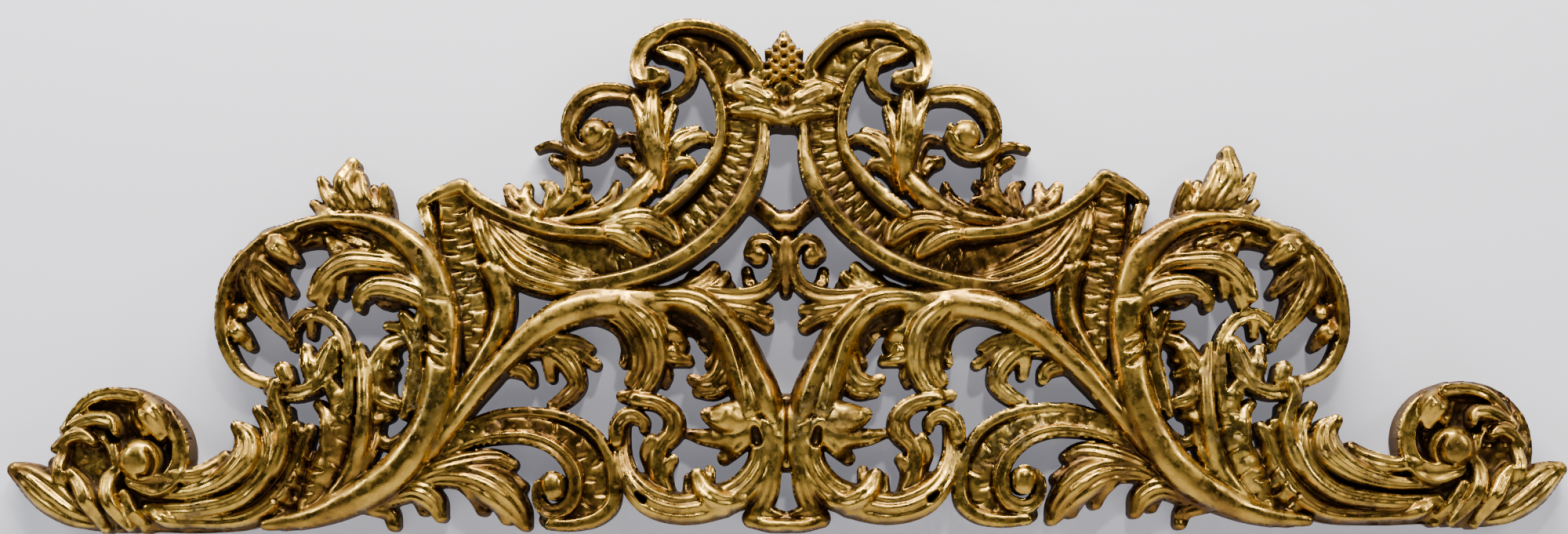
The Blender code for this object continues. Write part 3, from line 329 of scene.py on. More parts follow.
def plant():
    """The flowering plant on the strip, with its ball scroll and fan leaf."""
    return [
        limb((MID, HIGH, TOP, HIGH), (696, 286, 7), (745, 280, 9), (790, 268, 13), (818, 245, 14),
             (834, 222, 11), (840, 195, 9)),
        leaf((LOW, MID, HIGH), (789, 176, 5), (805, 174, 8), (818, 190, 11), (824, 215, 11),
             (815, 245, 12)),
        leaf((LOW, MID), (790, 202, 7), (804, 205, 11), (814, 220, 8)),
        leaf((LOW, MID, MID), (786, 234, 6), (781, 250, 9), (765, 265, 9), (735, 277, 7)),
        leaf((LOW, MID, MID), (684, 188, 4), (700, 183, 5), (718, 187, 6), (731, 203, 6),
             (736, 230, 6)),
        leaf((LOW, MID, MID), (706, 202, 8), (718, 208, 9), (727, 224, 8), (725, 246, 8),
             (709, 266, 9), (688, 282, 7)),
        leaf((LOW, MID, LOW), (747, 232, 6), (735, 244, 8), (718, 262, 7)),
        leaf((MID, MID, LOW), (714, 273, 6), (732, 257, 7), (747, 251, 7), (753, 259, 6)),
        plate((658, 260, 9), (680, 271, 12), (712, 276, 10)),
        leaf((LOW, MID, HIGH), (648, 240, 8), (658, 256, 13), (682, 273, 11)),
        leaf((LOW, MID, MID), (672, 236, 6), (670, 252, 8), (684, 271, 8)),
        leaf((LOW, MID, MID), (692, 233, 5), (704, 241, 9), (700, 264, 10)),
        band((MID, HIGH, HIGH, TOP), (812, 122, 10), (790, 116, 11), (765, 117, 12), (744, 127, 13),
             (730, 146, 12), (725, 168, 10), (733, 188, 11), (752, 196, 10), (771, 188, 8),
             (779, 172, 6)),
        limb(TOP, (759, 171, 19)),
        leaf((HIGH, MID), (777, 160, 5), (781, 176, 5)),
        leaf((HIGH, TOP, TOP, HIGH), (840, 240, 7), (835, 205, 11), (827, 175, 12), (819, 148, 11),
             (809, 126, 8)),
        leaf((HIGH, TOP, TOP, HIGH), (841, 235, 7), (837, 195, 11), (833, 160, 12), (832, 130, 11),
             (832, 112, 8)),
        leaf((HIGH, TOP, HIGH, MID), (843, 225, 7), (843, 185, 10), (848, 155, 10), (857, 133, 7)),
        leaf((HIGH, HIGH, MID), (843, 228, 7), (853, 196, 9), (866, 175, 9), (888, 165, 7)),
        leaf((HIGH, HIGH, MID), (852, 208, 7), (872, 184, 8), (895, 174, 8), (915, 181, 6)),
        leaf((MID, HIGH, MID), (845, 237, 7), (856, 217, 9), (874, 207, 9), (886, 216, 7),
             (884, 230, 7)),
        opening((741, 163, 4)),
    ]


def centre_crest():
    """The leaf collar, straps, berry and small volutes on the centre line."""
    return [
        leaf((HIGH, TOP, TOP, HIGH), (931, 113, 9), (948, 114, 15), (970, 123, 16), (995, 141, 10)),
        leaf((HIGH, TOP, TOP), (937, 139, 9), (956, 138, 13), (976, 142, 13), (997, 150, 9)),
        leaf((MID, HIGH, TOP), (950, 163, 9), (966, 156, 12), (984, 153, 11), (1000, 155, 8)),
        leaf((HIGH, HIGH, TOP), (962, 93, 8), (968, 108, 12), (982, 128, 12)),
        plate((985, 110, 20), (1003, 120, 18)),
        leaf((HIGH, HIGH), (988, 100, 9), (988, 120, 11), (990, 148, 9)),
        limb((MID, HIGH), (1003, 105, 10), (1003, 130, 11)),
        limb((MID, HIGH), (958, 256, 12), (976, 270, 12), (994, 286, 12), flat=3),
        limb(HIGH, (1003, 283, 15)),
        limb((MID, MID), (1003, 298, 12), (1003, 315, 9)),
        band((HIGH, HIGH, HIGH), (955, 324, 7), (962, 310, 7), (978, 307, 8), (990, 318, 8),
             (993, 340, 8), (985, 362, 9), (965, 375, 10), (935, 378, 9), (905, 375, 7)),
        limb(HIGH, (967, 326, 13)),
        limb((HIGH, HIGH, MID), (1003, 308, 7), (1003, 345, 8), (1003, 372, 7)),
        leaf((LOW, MID, MID), (953, 347, 8), (957, 362, 9), (970, 376, 8)),
        plate((872, 367, 8), (900, 361, 12), (928, 367, 11)),
        leaf((LOW, MID), (884, 350, 7), (876, 364, 9), (858, 371, 8)),
        leaf((MID, HIGH, MID), (910, 342, 9), (899, 356, 12), (880, 367, 10), (848, 374, 7)),
        leaf((MID, HIGH), (925, 353, 8), (914, 366, 10), (895, 376, 9)),
        leaf((MID, HIGH, HIGH), (979, 395, 8), (950, 391, 10), (912, 386, 10)),
        leaf((MID, HIGH, HIGH), (977, 415, 11), (958, 404, 11), (928, 397, 11), (898, 391, 11)),
        opening((973, 349, 5)),
    ]


def acanthus():
    """The large acanthus leaf of the lower middle, its stem and its curled tip."""
    return [
        plate((800, 400, 14), (838, 402, 16), (868, 408, 16), (892, 418, 14), (905, 440, 12)),
        plate((842, 420, 14), (858, 442, 12)),
        limb((MID, HIGH, TOP, TOP, HIGH), (470, 648, 7), (510, 622, 8), (550, 580, 9), (585, 535, 11),
             (620, 490, 13), (655, 452, 14), (690, 420, 17), (730, 398, 20), (770, 389, 20),
             (815, 386, 22), (850, 383, 17), (880, 385, 14)),
        limb((MID, HIGH, HIGH), (520, 612, 7), (560, 562, 8), (600, 514, 10), (630, 484, 9)),
        leaf((HIGH, MID, LOW), (730, 405, 8), (762, 406, 8), (790, 420, 9), (801, 443, 9),
             (797, 463, 7)),
        leaf((HIGH, HIGH, HIGH, MID), (762, 397, 9), (796, 410, 14), (815, 438, 15), (817, 468, 13),
             (806, 487, 9)),
        leaf((TOP, TOP, HIGH, MID), (800, 392, 12), (828, 418, 17), (838, 455, 16), (830, 486, 13),
             (812, 505, 12), (794, 506, 7)),
        leaf((HIGH, HIGH, MID), (834, 446, 11), (858, 456, 11), (878, 460, 8)),
        leaf((HIGH, LOW), (838, 462, 11), (850, 476, 9), (848, 490, 6)),
        limb((HIGH, TOP, TOP, TOP, HIGH), (815, 384, 9), (850, 381, 13), (888, 386, 16),
             (914, 405, 19), (935, 434, 23), (950, 470, 28), (964, 505, 32), (972, 540, 30),
             (982, 575, 21), ribs=2),
        limb((MID, HIGH, HIGH), (905, 384, 8), (935, 404, 8), (958, 440, 8), (975, 480, 8),
             (984, 530, 8)),
        limb((HIGH, TOP, HIGH), (960, 525, 18), (935, 533, 21), (912, 532, 13), (902, 529, 8)),
        limb((HIGH, HIGH, MID, LOW), (960, 548, 17), (930, 557, 15), (898, 557, 10), (876, 552, 6)),
        leaf((HIGH, HIGH, LOW), (952, 556, 14), (936, 572, 12), (924, 584, 9)),
        leaf((HIGH, HIGH, TOP, MID), (975, 570, 17), (967, 600, 19), (944, 626, 20), (908, 641, 22),
             (868, 648, 20), (832, 638, 20), (807, 614, 15), (796, 585, 12), (794, 560, 11),
             (797, 548, 8)),
        limb((HIGH, TOP, HIGH, MID), (868, 390, 10), (898, 400, 11), (916, 424, 12), (920, 448, 13),
             (908, 464, 10)),
        leaf((HIGH, HIGH, MID), (926, 455, 14), (915, 482, 13), (898, 490, 10), (883, 484, 7)),
        leaf((MID, HIGH, MID), (935, 480, 14), (912, 500, 10), (890, 500, 7)),
        limb((HIGH, HIGH, HIGH, MID), (832, 392, 10), (843, 410, 13), (860, 430, 14), (870, 440, 10)),
        limb((MID, HIGH), (870, 446, 7), (860, 448, 8)),
        hollow(PIT, (860, 410, 6), (878, 416, 8), (896, 432, 7), (903, 446, 4)),
        opening((886, 442, 4), (893, 456, 7), (893, 468, 5)),
        hollow(MID, (963, 550, 6), (966, 563, 8)),
        gouge(0.07, (955, 534, 3), (970, 532, 4), (987, 541, 3)),
        gouge(0.06, (905, 398, 2), (932, 430, 4), (948, 480, 5), (955, 520, 3)),
    ]


def small_scroll():
    """The small leafy scroll under the acanthus."""
    return [
        leaf((HIGH, HIGH, MID), (788, 562, 10), (791, 541, 11), (806, 530, 11), (821, 537, 9),
             (823, 549, 6)),
        leaf((HIGH, HIGH, HIGH, MID), (812, 510, 10), (842, 516, 11), (860, 533, 14), (859, 552, 14),
             (846, 568, 12), (840, 585, 12), (844, 612, 11), (860, 636, 10), (886, 651, 8)),
        leaf((HIGH, MID), (832, 561, 8), (826, 578, 9), (832, 596, 9)),
        leaf((HIGH, MID), (859, 586, 7), (850, 601, 9), (853, 622, 8)),
        leaf((MID, HIGH), (805, 612, 8), (822, 612, 9), (838, 628, 9), (850, 652, 8)),
        leaf((HIGH, TOP, HIGH), (890, 606, 9), (898, 623, 13), (919, 638, 13), (945, 638, 10)),
        leaf((MID, HIGH), (906, 600, 7), (903, 618, 9)),
        leaf((MID, HIGH), (880, 610, 7), (881, 629, 8), (898, 645, 8), (925, 650, 8)),
        hollow(LOW, (815, 630, 3), (823, 637, 5)),
    ]


def bottom_scroll():
    """The C-scroll along the foot."""
    return [
        plate((575, 572, 10), (610, 550, 17), (660, 543, 18), (705, 550, 22), (745, 575, 26),
             (760, 610, 26), (755, 640, 22), (725, 658, 14), (700, 662, 10)),
        flutes((CHANNEL, MID), 17, (560, 584, 7), (585, 563, 10), (620, 549, 11), (660, 543, 12),
             (700, 548, 14), (738, 567, 16), (758, 597, 18), (762, 627, 18), (750, 652, 15),
             (722, 664, 10)),
        fillet((MID, HIGH), (592, 545, 6), (640, 528, 6), (685, 526, 6), (725, 533, 7), (758, 551, 7),
             (776, 577, 7), (785, 610, 8), (783, 643, 9), (765, 660, 9), (735, 668, 8), (705, 668, 7)),
        band((MID, HIGH, HIGH), (572, 580, 6), (605, 565, 6), (640, 559, 7), (675, 559, 8),
             (707, 571, 9), (730, 594, 10), (737, 622, 10), (728, 644, 10), (706, 652, 10),
             (692, 641, 8), (690, 622, 7), (698, 610, 5)),
        limb(TOP, (709, 616, 15), (710, 624, 14)),
    ]


def bottom_leaf():
    """The leaf that springs from the trunk's foot."""
    return [
        leaf((MID, HIGH, HIGH, MID), (520, 620, 8), (562, 600, 12), (603, 590, 15), (638, 586, 13),
             (654, 592, 9)),
        leaf((MID, HIGH, MID), (535, 614, 9), (588, 602, 13), (636, 606, 14), (667, 620, 9)),
        leaf((MID, HIGH, TOP, MID), (520, 622, 8), (568, 608, 13), (611, 612, 20), (643, 630, 23),
             (663, 651, 17), (673, 669, 8)),
        leaf((HIGH, MID), (640, 640, 11), (650, 660, 9)),
        leaf((HIGH, MID), (600, 620, 11), (612, 634, 10), (619, 650, 8)),
        leaf((MID, HIGH, MID), (500, 636, 10), (532, 626, 14), (556, 637, 15), (566, 658, 8)),
        leaf((MID, LOW), (535, 630, 9), (544, 650, 8)),
        leaf((MID, LOW), (478, 648, 9), (500, 653, 11), (506, 669, 8)),
    ]


def middle_leaf():
    """The leaf that springs from the acanthus stem over the bottom scroll."""
    return [
        leaf((HIGH, HIGH, MID), (640, 470, 9), (665, 450, 11), (700, 447, 13), (727, 465, 15),
             (737, 490, 12), (723, 508, 11), (707, 518, 8)),
        leaf((HIGH, HIGH, MID), (660, 443, 7), (700, 434, 8), (735, 436, 8), (754, 445, 6)),
        leaf((HIGH, MID), (700, 442, 9), (735, 450, 9), (760, 465, 8)),
        leaf((HIGH, MID), (650, 470, 10), (671, 474, 12), (679, 488, 7)),
        leaf((HIGH, MID), (701, 456, 10), (704, 482, 7)),
    ]


def foot():
    """The foot and stem on the centre line."""
    return [
        plate((958, 659, 11), (985, 665, 12), (1003, 667, 9)),
        leaf((HIGH, HIGH, MID), (990, 560, 10), (986, 600, 11), (979, 630, 14), (966, 655, 12)),
        limb((MID, LOW), (980, 652, 9), (1003, 661, 8)),
        limb((MID, HIGH), (957, 663, 8), (985, 669, 8), (1003, 669, 7)),
        limb((MID, HIGH, HIGH, MID), (1003, 512, 9), (1003, 540, 12), (1003, 565, 13), (1003, 590, 10)),
        gouge(0.08, (1002, 514, 1.5), (1004, 550, 2.5), (1003, 586, 1.5)),
    ]


def pinecone():
    """The pinecone at the top of the centre line, with its diamond scales cut by crossing gouges."""
    cone_x, cone_top, cone_foot, cone_half = 1000, 47, 112, 22
    strokes = [limb((HIGH, TOP, TOP, HIGH), (cone_x, cone_top, 6), (cone_x, 62, 15),
                    (cone_x, 82, cone_half), (cone_x, cone_foot, 18))]
    cuts = 4
    for k in range(cuts):
        y = cone_top + 14 + 14 * k
        for side in (-1, 1):
            strokes.append(gouge(0.10, (cone_x - side * 24, y + 12, 3), (cone_x, y - 2, 3.5),
                                 (cone_x + side * 24, y - 20, 3)))
    for x, y in ((-19, 66), (19, 66), (-24, 84), (24, 84), (0, 44)):
        strokes.append(limb(HIGH, (cone_x + x, y, 6)))
    return strokes


# How the right half, carved by hand to the same drawing, wanders from the left one: where, how far
# around and by how much, on the mirrored sheet
WANDER = [
    ((820, 160), 170, (17, 3)),
    ((560, 320), 110, (8, -4)),
    ((590, 235), 45, (2, -10)),
    ((330, 390), 140, (12, 2)),
    ((449, 205), 45, (-12, -15)),
    ((187, 582), 95, (-26, -13)),
    ((300, 600), 120, (0, -8)),
    ((650, 610), 120, (-8, -10)),
]


def wander(point):
    """A mirrored stroke's point, moved as the carver's hand moved it."""
    x, y, half_width = point
    dx = dy = 0.0
    for (cx, cy), radius, (sx, sy) in WANDER:
        weight = math.exp(-((x - cx) ** 2 + (y - cy) ** 2) / radius ** 2)
        dx += sx * weight
        dy += sy * weight
    return 2 * AXIS_X - x - dx, y + dy, half_width


def all_strokes():
    """The strokes of the left half, those of the right half and those on the centre line."""
    groups = (end_volute, base_sweep, trunk, scroll_leaves, crown_leaf, strip, great_scroll, plant,
              centre_crest, acanthus, small_scroll, bottom_scroll, bottom_leaf, middle_leaf, foot)
    left = [stroke for group in groups for stroke in group()]
    right = [dict(stroke, points=[wander(point) for point in stroke["points"]]) for stroke in left]
    return sorted(left + right + pinecone(), key=lambda stroke: stroke["kind"] != "add")


def smooth_line(points):
    """Samples along a centripetal Catmull-Rom curve through (x, y, half width) points."""
    known = np.array(points, float)
    if len(known) == 1:
        return known
    known = np.vstack([2 * known[0] - known[1], known, 2 * known[-1] - known[-2]])
    out = []
    for p0, p1, p2, p3 in zip(known[:-3], known[1:-2], known[2:-1], known[3:]):
        t1 = math.dist(p0[:2], p1[:2]) ** 0.5
        t2 = t1 + math.dist(p1[:2], p2[:2]) ** 0.5
        t3 = t2 + math.dist(p2[:2], p3[:2]) ** 0.5
        for t in np.linspace(t1, t2, SPAN_SAMPLES, endpoint=False):
            a1 = ((t1 - t) * p0 + t * p1) / t1
            a2 = ((t2 - t) * p1 + (t - t1) * p2) / (t2 - t1)
            a3 = ((t3 - t) * p2 + (t - t2) * p3) / (t3 - t2)
            b1 = ((t2 - t) * a1 + t * a2) / t2
            b2 = ((t3 - t) * a2 + (t - t1) * a3) / (t3 - t1)
            out.append(((t2 - t) * b1 + (t - t1) * b2) / (t2 - t1))
    out.append(known[-2])
    return np.array(out)


def measure(line, x, y):
    """Margin inside the stroke, place across it from -1 to 1, place along it and local half width."""
    if len(line) == 1:
        d = np.hypot(x - line[0, 0], y - line[0, 1])
        w = line[0, 2]
        return w - d, d / w, np.zeros_like(x), np.full_like(x, w), 1.0
    margin = np.full(x.shape, -1e9)
    across, along, width = np.zeros_like(x), np.zeros_like(x), np.ones_like(x)
    reach = 0.0
    for (px, py, pw), (qx, qy, qw) in zip(line[:-1], line[1:]):
        sx, sy = qx - px, qy - py
        n = math.hypot(sx, sy) or 1e-6
        taper = min(max((qw - pw) / n, -0.9), 0.9)
        off_line = np.abs(sx * (y - py) - sy * (x - px)) / n
        lead = off_line * taper / math.sqrt(1 - taper * taper)
        u = np.clip((((x - px) * sx + (y - py) * sy) / n + lead) / n, 0, 1)
        dx, dy = x - px - u * sx, y - py - u * sy
        w = np.maximum(pw + (qw - pw) * u, 1.0)
        m = w - np.hypot(dx, dy)
        new = m > margin
        side = np.where(sx * dy - sy * dx < 0, -1.0, 1.0)
        margin = np.where(new, m, margin)
        across = np.where(new, side * (w - m) / w, across)
        along = np.where(new, reach + u * n, along)
        width = np.where(new, w, width)
        reach += n
    return margin, across, along, width, reach


def section(stroke, t, along, fade):
    """The stroke's cross-section: 1 on its crown and 0 at its edges."""
    a = np.clip(np.abs(t), 0, 1)
    if stroke["flat"]:
        shape = np.sqrt(1 - a ** stroke["flat"])
    elif stroke["dip"]:
        lip = np.sqrt(np.clip(1 - ((a - 0.68) / 0.32) ** 2, 0, 1))
        shape = np.where(a < 0.68, 1 - stroke["dip"] * (1 - (a / 0.68) ** 2), lip)
    else:
        shape = np.sqrt(1 - a * a)
    if stroke["ribs"] > 1:
        wave = np.abs(np.sin(stroke["ribs"] * math.pi * (t + 1) / 2))
        shape = shape * (1 - RIB_DEPTH * fade * (1 - wave ** 0.7))
    if stroke["cells"]:
        place = along / stroke["cells"] + 0.3 * t * t
        cut = np.clip(1 - np.abs(place % 1 - 0.5) / 0.2, 0, 1)
        side = np.where(np.floor(place) % 2 == 0, t, -t)
        inner = np.clip((0.95 - a) / 0.1, 0, 1)
        shape = shape - CELL_DEPTH * cut * inner * np.clip((side + 0.1) / 0.3, 0, 1)
    return shape


def level(rise, share):
    """The crown's height along a stroke, from one value or a few along it."""
    if isinstance(rise, tuple):
        place = np.clip(share, 0, 1) * (len(rise) - 1)
        before = np.minimum(place.astype(int), len(rise) - 2)
        ease = place - before
        ease = ease * ease * (3 - 2 * ease)
        levels = np.array(rise)
        return levels[before] * (1 - ease) + levels[before + 1] * ease
    return np.full_like(share, rise)


def carve(strokes, x, y):
    """The carving's height in shares of the relief and its margin inside the outline, on a sheet grid."""
    height = np.zeros_like(x)
    joined = np.zeros_like(x)
    holes = np.full(x.shape, FAR_OUTSIDE)
    step = x[0, 1] - x[0, 0]
    least = EDGE_THICKNESS / RELIEF_DEPTH
    for stroke in strokes:
        line = smooth_line(stroke["points"])
        pad = line[:, 2].max() + REACH
        low = line[:, :2].min(axis=0) - pad
        high = line[:, :2].max(axis=0) + pad
        cols = np.clip([(low[0] - x[0, 0]) / step, (high[0] - x[0, 0]) / step], 0, x.shape[1]).astype(int)
        rows = np.clip([(low[1] - y[0, 0]) / step, (high[1] - y[0, 0]) / step], 0, x.shape[0]).astype(int)
        if cols[0] == cols[1] or rows[0] == rows[1]:
            continue
        box = (slice(rows[0], rows[1] + 1), slice(cols[0], cols[1] + 1))
        m, t, along, width, reach = measure(line, x[box], y[box])
        inside = m > 0
        old = height[box]
        if stroke["kind"] == "opening":
            holes[box] = np.minimum(holes[box], -m)
        elif stroke["kind"] == "pocket":
            wall = np.clip(m / EDGE_EASE, 0, 1)
            height[box] = np.where(inside, np.minimum(old, old + (stroke["rise"] - old) * wall), old)
        elif stroke["kind"] == "groove":
            cut = stroke["rise"] * np.clip(1 - np.abs(t), 0, 1)
            height[box] = np.where(inside, np.maximum(old - cut, least), old)
        else:
            crown = level(stroke["rise"], along / reach)
            drop = np.minimum(crown - least, ROUNDNESS * width * UNIT / RELIEF_DEPTH)
            fade = np.clip(np.minimum(along, reach - along) / (RIB_FADE * width), 0, 1)
            new = crown - drop * (1 - section(stroke, t, along, fade))
            near = np.clip(BLEND - np.abs(old - new), 0, BLEND) ** 2 / (4 * BLEND)
            blended = np.maximum(old, new) + near * np.clip(m / EDGE_EASE, 0, 1)
            height[box] = np.where(inside, blended, old)
            joined[box] += np.exp(WEBBING * np.clip(m, -REACH, REACH))
    margin = np.minimum(np.log(joined + 1e-9) / WEBBING, holes)
    return np.where(margin > 0, np.maximum(height, WEB), 0), margin


# Building the solid


def world_x(sheet_x):
    return (sheet_x - AXIS_X) * UNIT


def world_z(sheet_y):
    return (ORIGIN_Y - sheet_y) * UNIT


def outline_cells(x, y, height, margin):
    """Points and polygons of the part of each grid cell that lies inside the outline."""
    points, faces, walls, known = [], [], [], {}
    inside = margin > 0
    rows, cols = x.shape

    def corner(i, j):
        if (i, j) not in known:
            known[(i, j)] = len(points)
            points.append((x[i, j], y[i, j], height[i, j]))
        return known[(i, j)]

    def crossing(a, b):
        key = (min(a, b), max(a, b))
        if key not in known:
            if not inside[a]:
                a, b = b, a
            share = min(max(margin[a] / (margin[a] - margin[b]), LEAST_SHARE), 1 - LEAST_SHARE)
            known[key] = len(points)
            points.append((x[a] + (x[b] - x[a]) * share, y[a] + (y[b] - y[a]) * share, height[a]))
        return known[key]

    busy = inside[:-1, :-1] | inside[1:, :-1] | inside[:-1, 1:] | inside[1:, 1:]
    for i, j in zip(*np.nonzero(busy)):
        ring = [(i, j), (i + 1, j), (i + 1, j + 1), (i, j + 1)]
        face, leaving = [], []
        for a, b in zip(ring, ring[1:] + ring[:1]):
            if inside[a]:
                face.append(corner(*a))
            if inside[a] != inside[b]:
                if inside[a]:
                    leaving.append(len(face))
                face.append(crossing(a, b))
        faces.append(face)
        walls += [(face[k], face[(k + 1) % len(face)]) for k in leaving]
    return points, faces, walls


# The fine relief

# Tool marks over the whole carving: height in shares of the relief, size in sheet units, seed
MARKS = ((0.009, 15, 3), (0.004, 6, 7))
# The ground is rougher below this height, easing in over a short fall
ROUGHNESS_MARKS = (0.030, 7, 11)
ROUGH_BELOW = 0.56
ROUGH_EASE = 0.08
LOWEST_FRONT = 0.2
# How far its surroundings stand over a place: blur radius in grid steps, strength
HOLLOW_SCALES = ((2, 6.0), (7, 2.4), (18, 0.6))
CREASE_ANGLE = math.radians(62)


def blurred(field, radius, passes=3):
    """The field with a soft blur of about `radius` grid steps, by passes of a running mean."""
    for _ in range(passes):
        for axis in (0, 1):
            pad = [(0, 0), (0, 0)]
            pad[axis] = (radius + 1, radius)
            total = np.cumsum(np.pad(field, pad, mode="edge"), axis=axis)
            ahead = np.take(total, range(2 * radius + 1, total.shape[axis]), axis=axis)
            behind = np.take(total, range(total.shape[axis] - 2 * radius - 1), axis=axis)
            field = (ahead - behind) / (2 * radius + 1)
    return field


def value_noise(x, y, size, seed):
    """Smooth noise from -1 to 1 with lumps of about `size` sheet units."""
    rng = np.random.default_rng(seed)
    lattice = rng.uniform(-1, 1, (int(np.ptp(y) / size) + 4, int(np.ptp(x) / size) + 4))
    u, v = (x - x.min()) / size, (y - y.min()) / size
    i, j = v.astype(int), u.astype(int)
    fu, fv = u - j, v - i
    fu, fv = fu * fu * (3 - 2 * fu), fv * fv * (3 - 2 * fv)
    upper = lattice[i, j] * (1 - fu) + lattice[i, j + 1] * fu
    lower = lattice[i + 1, j] * (1 - fu) + lattice[i + 1, j + 1] * fu
    return upper * (1 - fv) + lower * fv


def local_mean(height, weight, radius, passes=3):
    """The mean height around each place, of the carving alone."""
    return blurred(height * weight, radius, passes) / np.maximum(blurred(weight, radius, passes), 1e-6)


def fine_relief():
    """The carved surface as a grid: sheet places, height in shares of the relief and outline margin."""
    step = RELIEF_STEP / UNIT
    across = np.arange(-step, SHEET_WIDTH + 3 * step, step) + AXIS_X - SHEET_WIDTH / 2
    down = np.arange(SHEET_TOP - 2 * step, FOOT_Y + 3 * step, step)
    x, y = np.meshgrid(across, down)
    height, margin = carve(all_strokes(), x, y)
    inside = margin > 0
    # Hard edges are rounded a little, as gesso does, without pulling the rim down
    height = np.where(inside, local_mean(height, inside.astype(float), 1, 1), 0)
    marks = sum(strength * value_noise(x, y, size, seed) for strength, size, seed in MARKS)
    strength, size, seed = ROUGHNESS_MARKS
    rough = strength * value_noise(x, y, size, seed) * np.clip((ROUGH_BELOW - height) / ROUGH_EASE, 0, 1)
    height = np.where(inside, np.maximum(height + (marks + rough), LOWEST_FRONT), 0)
    return x, y, height, margin


def relief_mesh(name):
    """The fine relief as one closed mesh, and the grid that it was made from."""
    x, y, height, margin = fine_relief()
    points, fronts, walls = outline_cells(x, y, height, margin)
    count = len(points)
    front = [(world_x(px), -share * RELIEF_DEPTH, world_z(py)) for px, py, share in points]
    back = [(px, 0.0, pz) for px, _, pz in front]
    faces = [tuple(face) for face in fronts]
    faces += [tuple(k + count for k in reversed(face)) for face in fronts]
    faces += [(end, start, start + count, end + count) for start, end in walls]
    mesh = bpy.data.meshes.new(name)
    mesh.from_pydata(front + back, [], faces)
    return mesh, (x, y, height, margin)


def sampled(field, x, y, sheet_x, sheet_y):
    """The field's values at places on the sheet."""
    step = x[0, 1] - x[0, 0]
    cols = np.clip(np.rint((sheet_x - x[0, 0]) / step).astype(int), 0, x.shape[1] - 1)
    rows = np.clip(np.rint((sheet_y - y[0, 0]) / step).astype(int), 0, x.shape[0] - 1)
    return field[rows, cols]


def carved_relief():
    """The carved piece, with how hollow each point lies stored on it."""
    mesh, (x, y, height, margin) = relief_mesh("carved_relief")
    panel = bpy.data.objects.new("carved_relief", mesh)
    bpy.context.scene.collection.objects.link(panel)
    triangles = sum(len(face.vertices) - 2 for face in mesh.polygons)
    collapse = panel.modifiers.new("Fewer faces", "DECIMATE")
    collapse.ratio = min(RELIEF_TRIANGLES / triangles, 1)
    collapse.use_collapse_triangulate = True
    seen = panel.evaluated_get(bpy.context.evaluated_depsgraph_get())
    mesh = bpy.data.meshes.new_from_object(seen)
    panel.modifiers.clear()
    panel.data = mesh
    places = np.empty(len(mesh.vertices) * 3, dtype=np.float32)
    mesh.vertices.foreach_get("co", places)
    places = places.reshape(-1, 3)
    sheet_x = places[:, 0] / UNIT + AXIS_X
    sheet_y = ORIGIN_Y - places[:, 2] / UNIT
    weight = (margin > 0).astype(float)
    depth = -places[:, 1] / RELIEF_DEPTH
    hollow_by = np.zeros(len(places))
    for radius, strength in HOLLOW_SCALES:
        around = local_mean(height, weight, radius)
        hollow_by += strength * (sampled(around, x, y, sheet_x, sheet_y) - depth)
    # The gilding reads this for its patina, its painted shade and its painted highlight.
    layer = mesh.attributes.new("hollow", "FLOAT", "POINT")
    layer.data.foreach_set("value", np.clip(hollow_by, -1, 1).astype(np.float32))
    mesh.shade_smooth()
    mesh.set_sharp_from_angle(angle=CREASE_ANGLE)
    return panel


# The gilding, with its painted shade and painted highlight


class Nodes:
    """Short names for the nodes that the gilding is built from."""

    def __init__(self, material):
        material.use_nodes = True
        self.tree = material.node_tree
        self.shader = self.tree.nodes["Principled BSDF"]

    def link(self, source, target):
        self.tree.links.new(source, target)

    def new(self, kind, **values):
        node = self.tree.nodes.new(kind)
        for key, value in values.items():
            setattr(node, key, value)
        return node

    def attribute(self, name):
        return self.new("ShaderNodeAttribute", attribute_name=name).outputs["Fac"]

    def part(self, vector, axis):
        node = self.new("ShaderNodeSeparateXYZ")
        self.link(vector, node.inputs[0])
        return node.outputs[axis]

    def noise(self, scale, detail=4.0, roughness=0.55):
        node = self.new("ShaderNodeTexNoise")
        node.inputs["Scale"].default_value = scale
        node.inputs["Detail"].default_value = detail
        node.inputs["Roughness"].default_value = roughness
        self.link(self.place, node.inputs["Vector"])
        return node.outputs["Fac"]

    def ranged(self, value, low, high, out_low=0.0, out_high=1.0):
        node = self.new("ShaderNodeMapRange", interpolation_type="SMOOTHSTEP")
        limits = {"From Min": low, "From Max": high, "To Min": out_low, "To Max": out_high}
        for name, number in limits.items():
            node.inputs[name].default_value = number
        self.link(value, node.inputs["Value"])
        return node.outputs["Result"]

    def maths(self, operation, a, b):
        node = self.new("ShaderNodeMath", operation=operation, use_clamp=operation != "MULTIPLY")
        for socket, value in zip(node.inputs, (a, b)):
            if isinstance(value, (int, float)):
                socket.default_value = value
            else:
                self.link(value, socket)
        return node.outputs["Value"]

    def mix(self, share, first, second):
        node = self.new("ShaderNodeMix", data_type="RGBA")
        self.link(share, node.inputs["Factor"])
        for socket, value in ((node.inputs[6], first), (node.inputs[7], second)):
            if isinstance(value, tuple):
                socket.default_value = (*value, 1)
            else:
                self.link(value, socket)
        return node.outputs[2]

    def mix_value(self, share, first, second):
        node = self.new("ShaderNodeMix", data_type="FLOAT")
        self.link(share, node.inputs["Factor"])
        for socket, value in ((node.inputs[2], first), (node.inputs[3], second)):
            if isinstance(value, (int, float)):
                socket.default_value = value
            else:
                self.link(value, socket)
        return node.outputs[0]


# GOLD_PALE is also used for the painted highlight on the crests.
GOLD_PALE = (0.57, 0.365, 0.068)
GOLD_DEEP = (0.25, 0.130, 0.026)
# GOLD_BROWN is brown patina in the hollows, and it is also their painted shade.
GOLD_BROWN = (0.078, 0.038, 0.013)
BOLE_RED = (0.060, 0.020, 0.007)
WORN_GREY = (0.125, 0.115, 0.065)
# GRIME_AND_SHADE is the near-black of dirt in the deepest hollows. It is also used as painted shade there,
# on the deep ground and on the side walls.
GRIME_AND_SHADE = (0.060, 0.033, 0.013)
BARE_WOOD = (0.22, 0.135, 0.070)


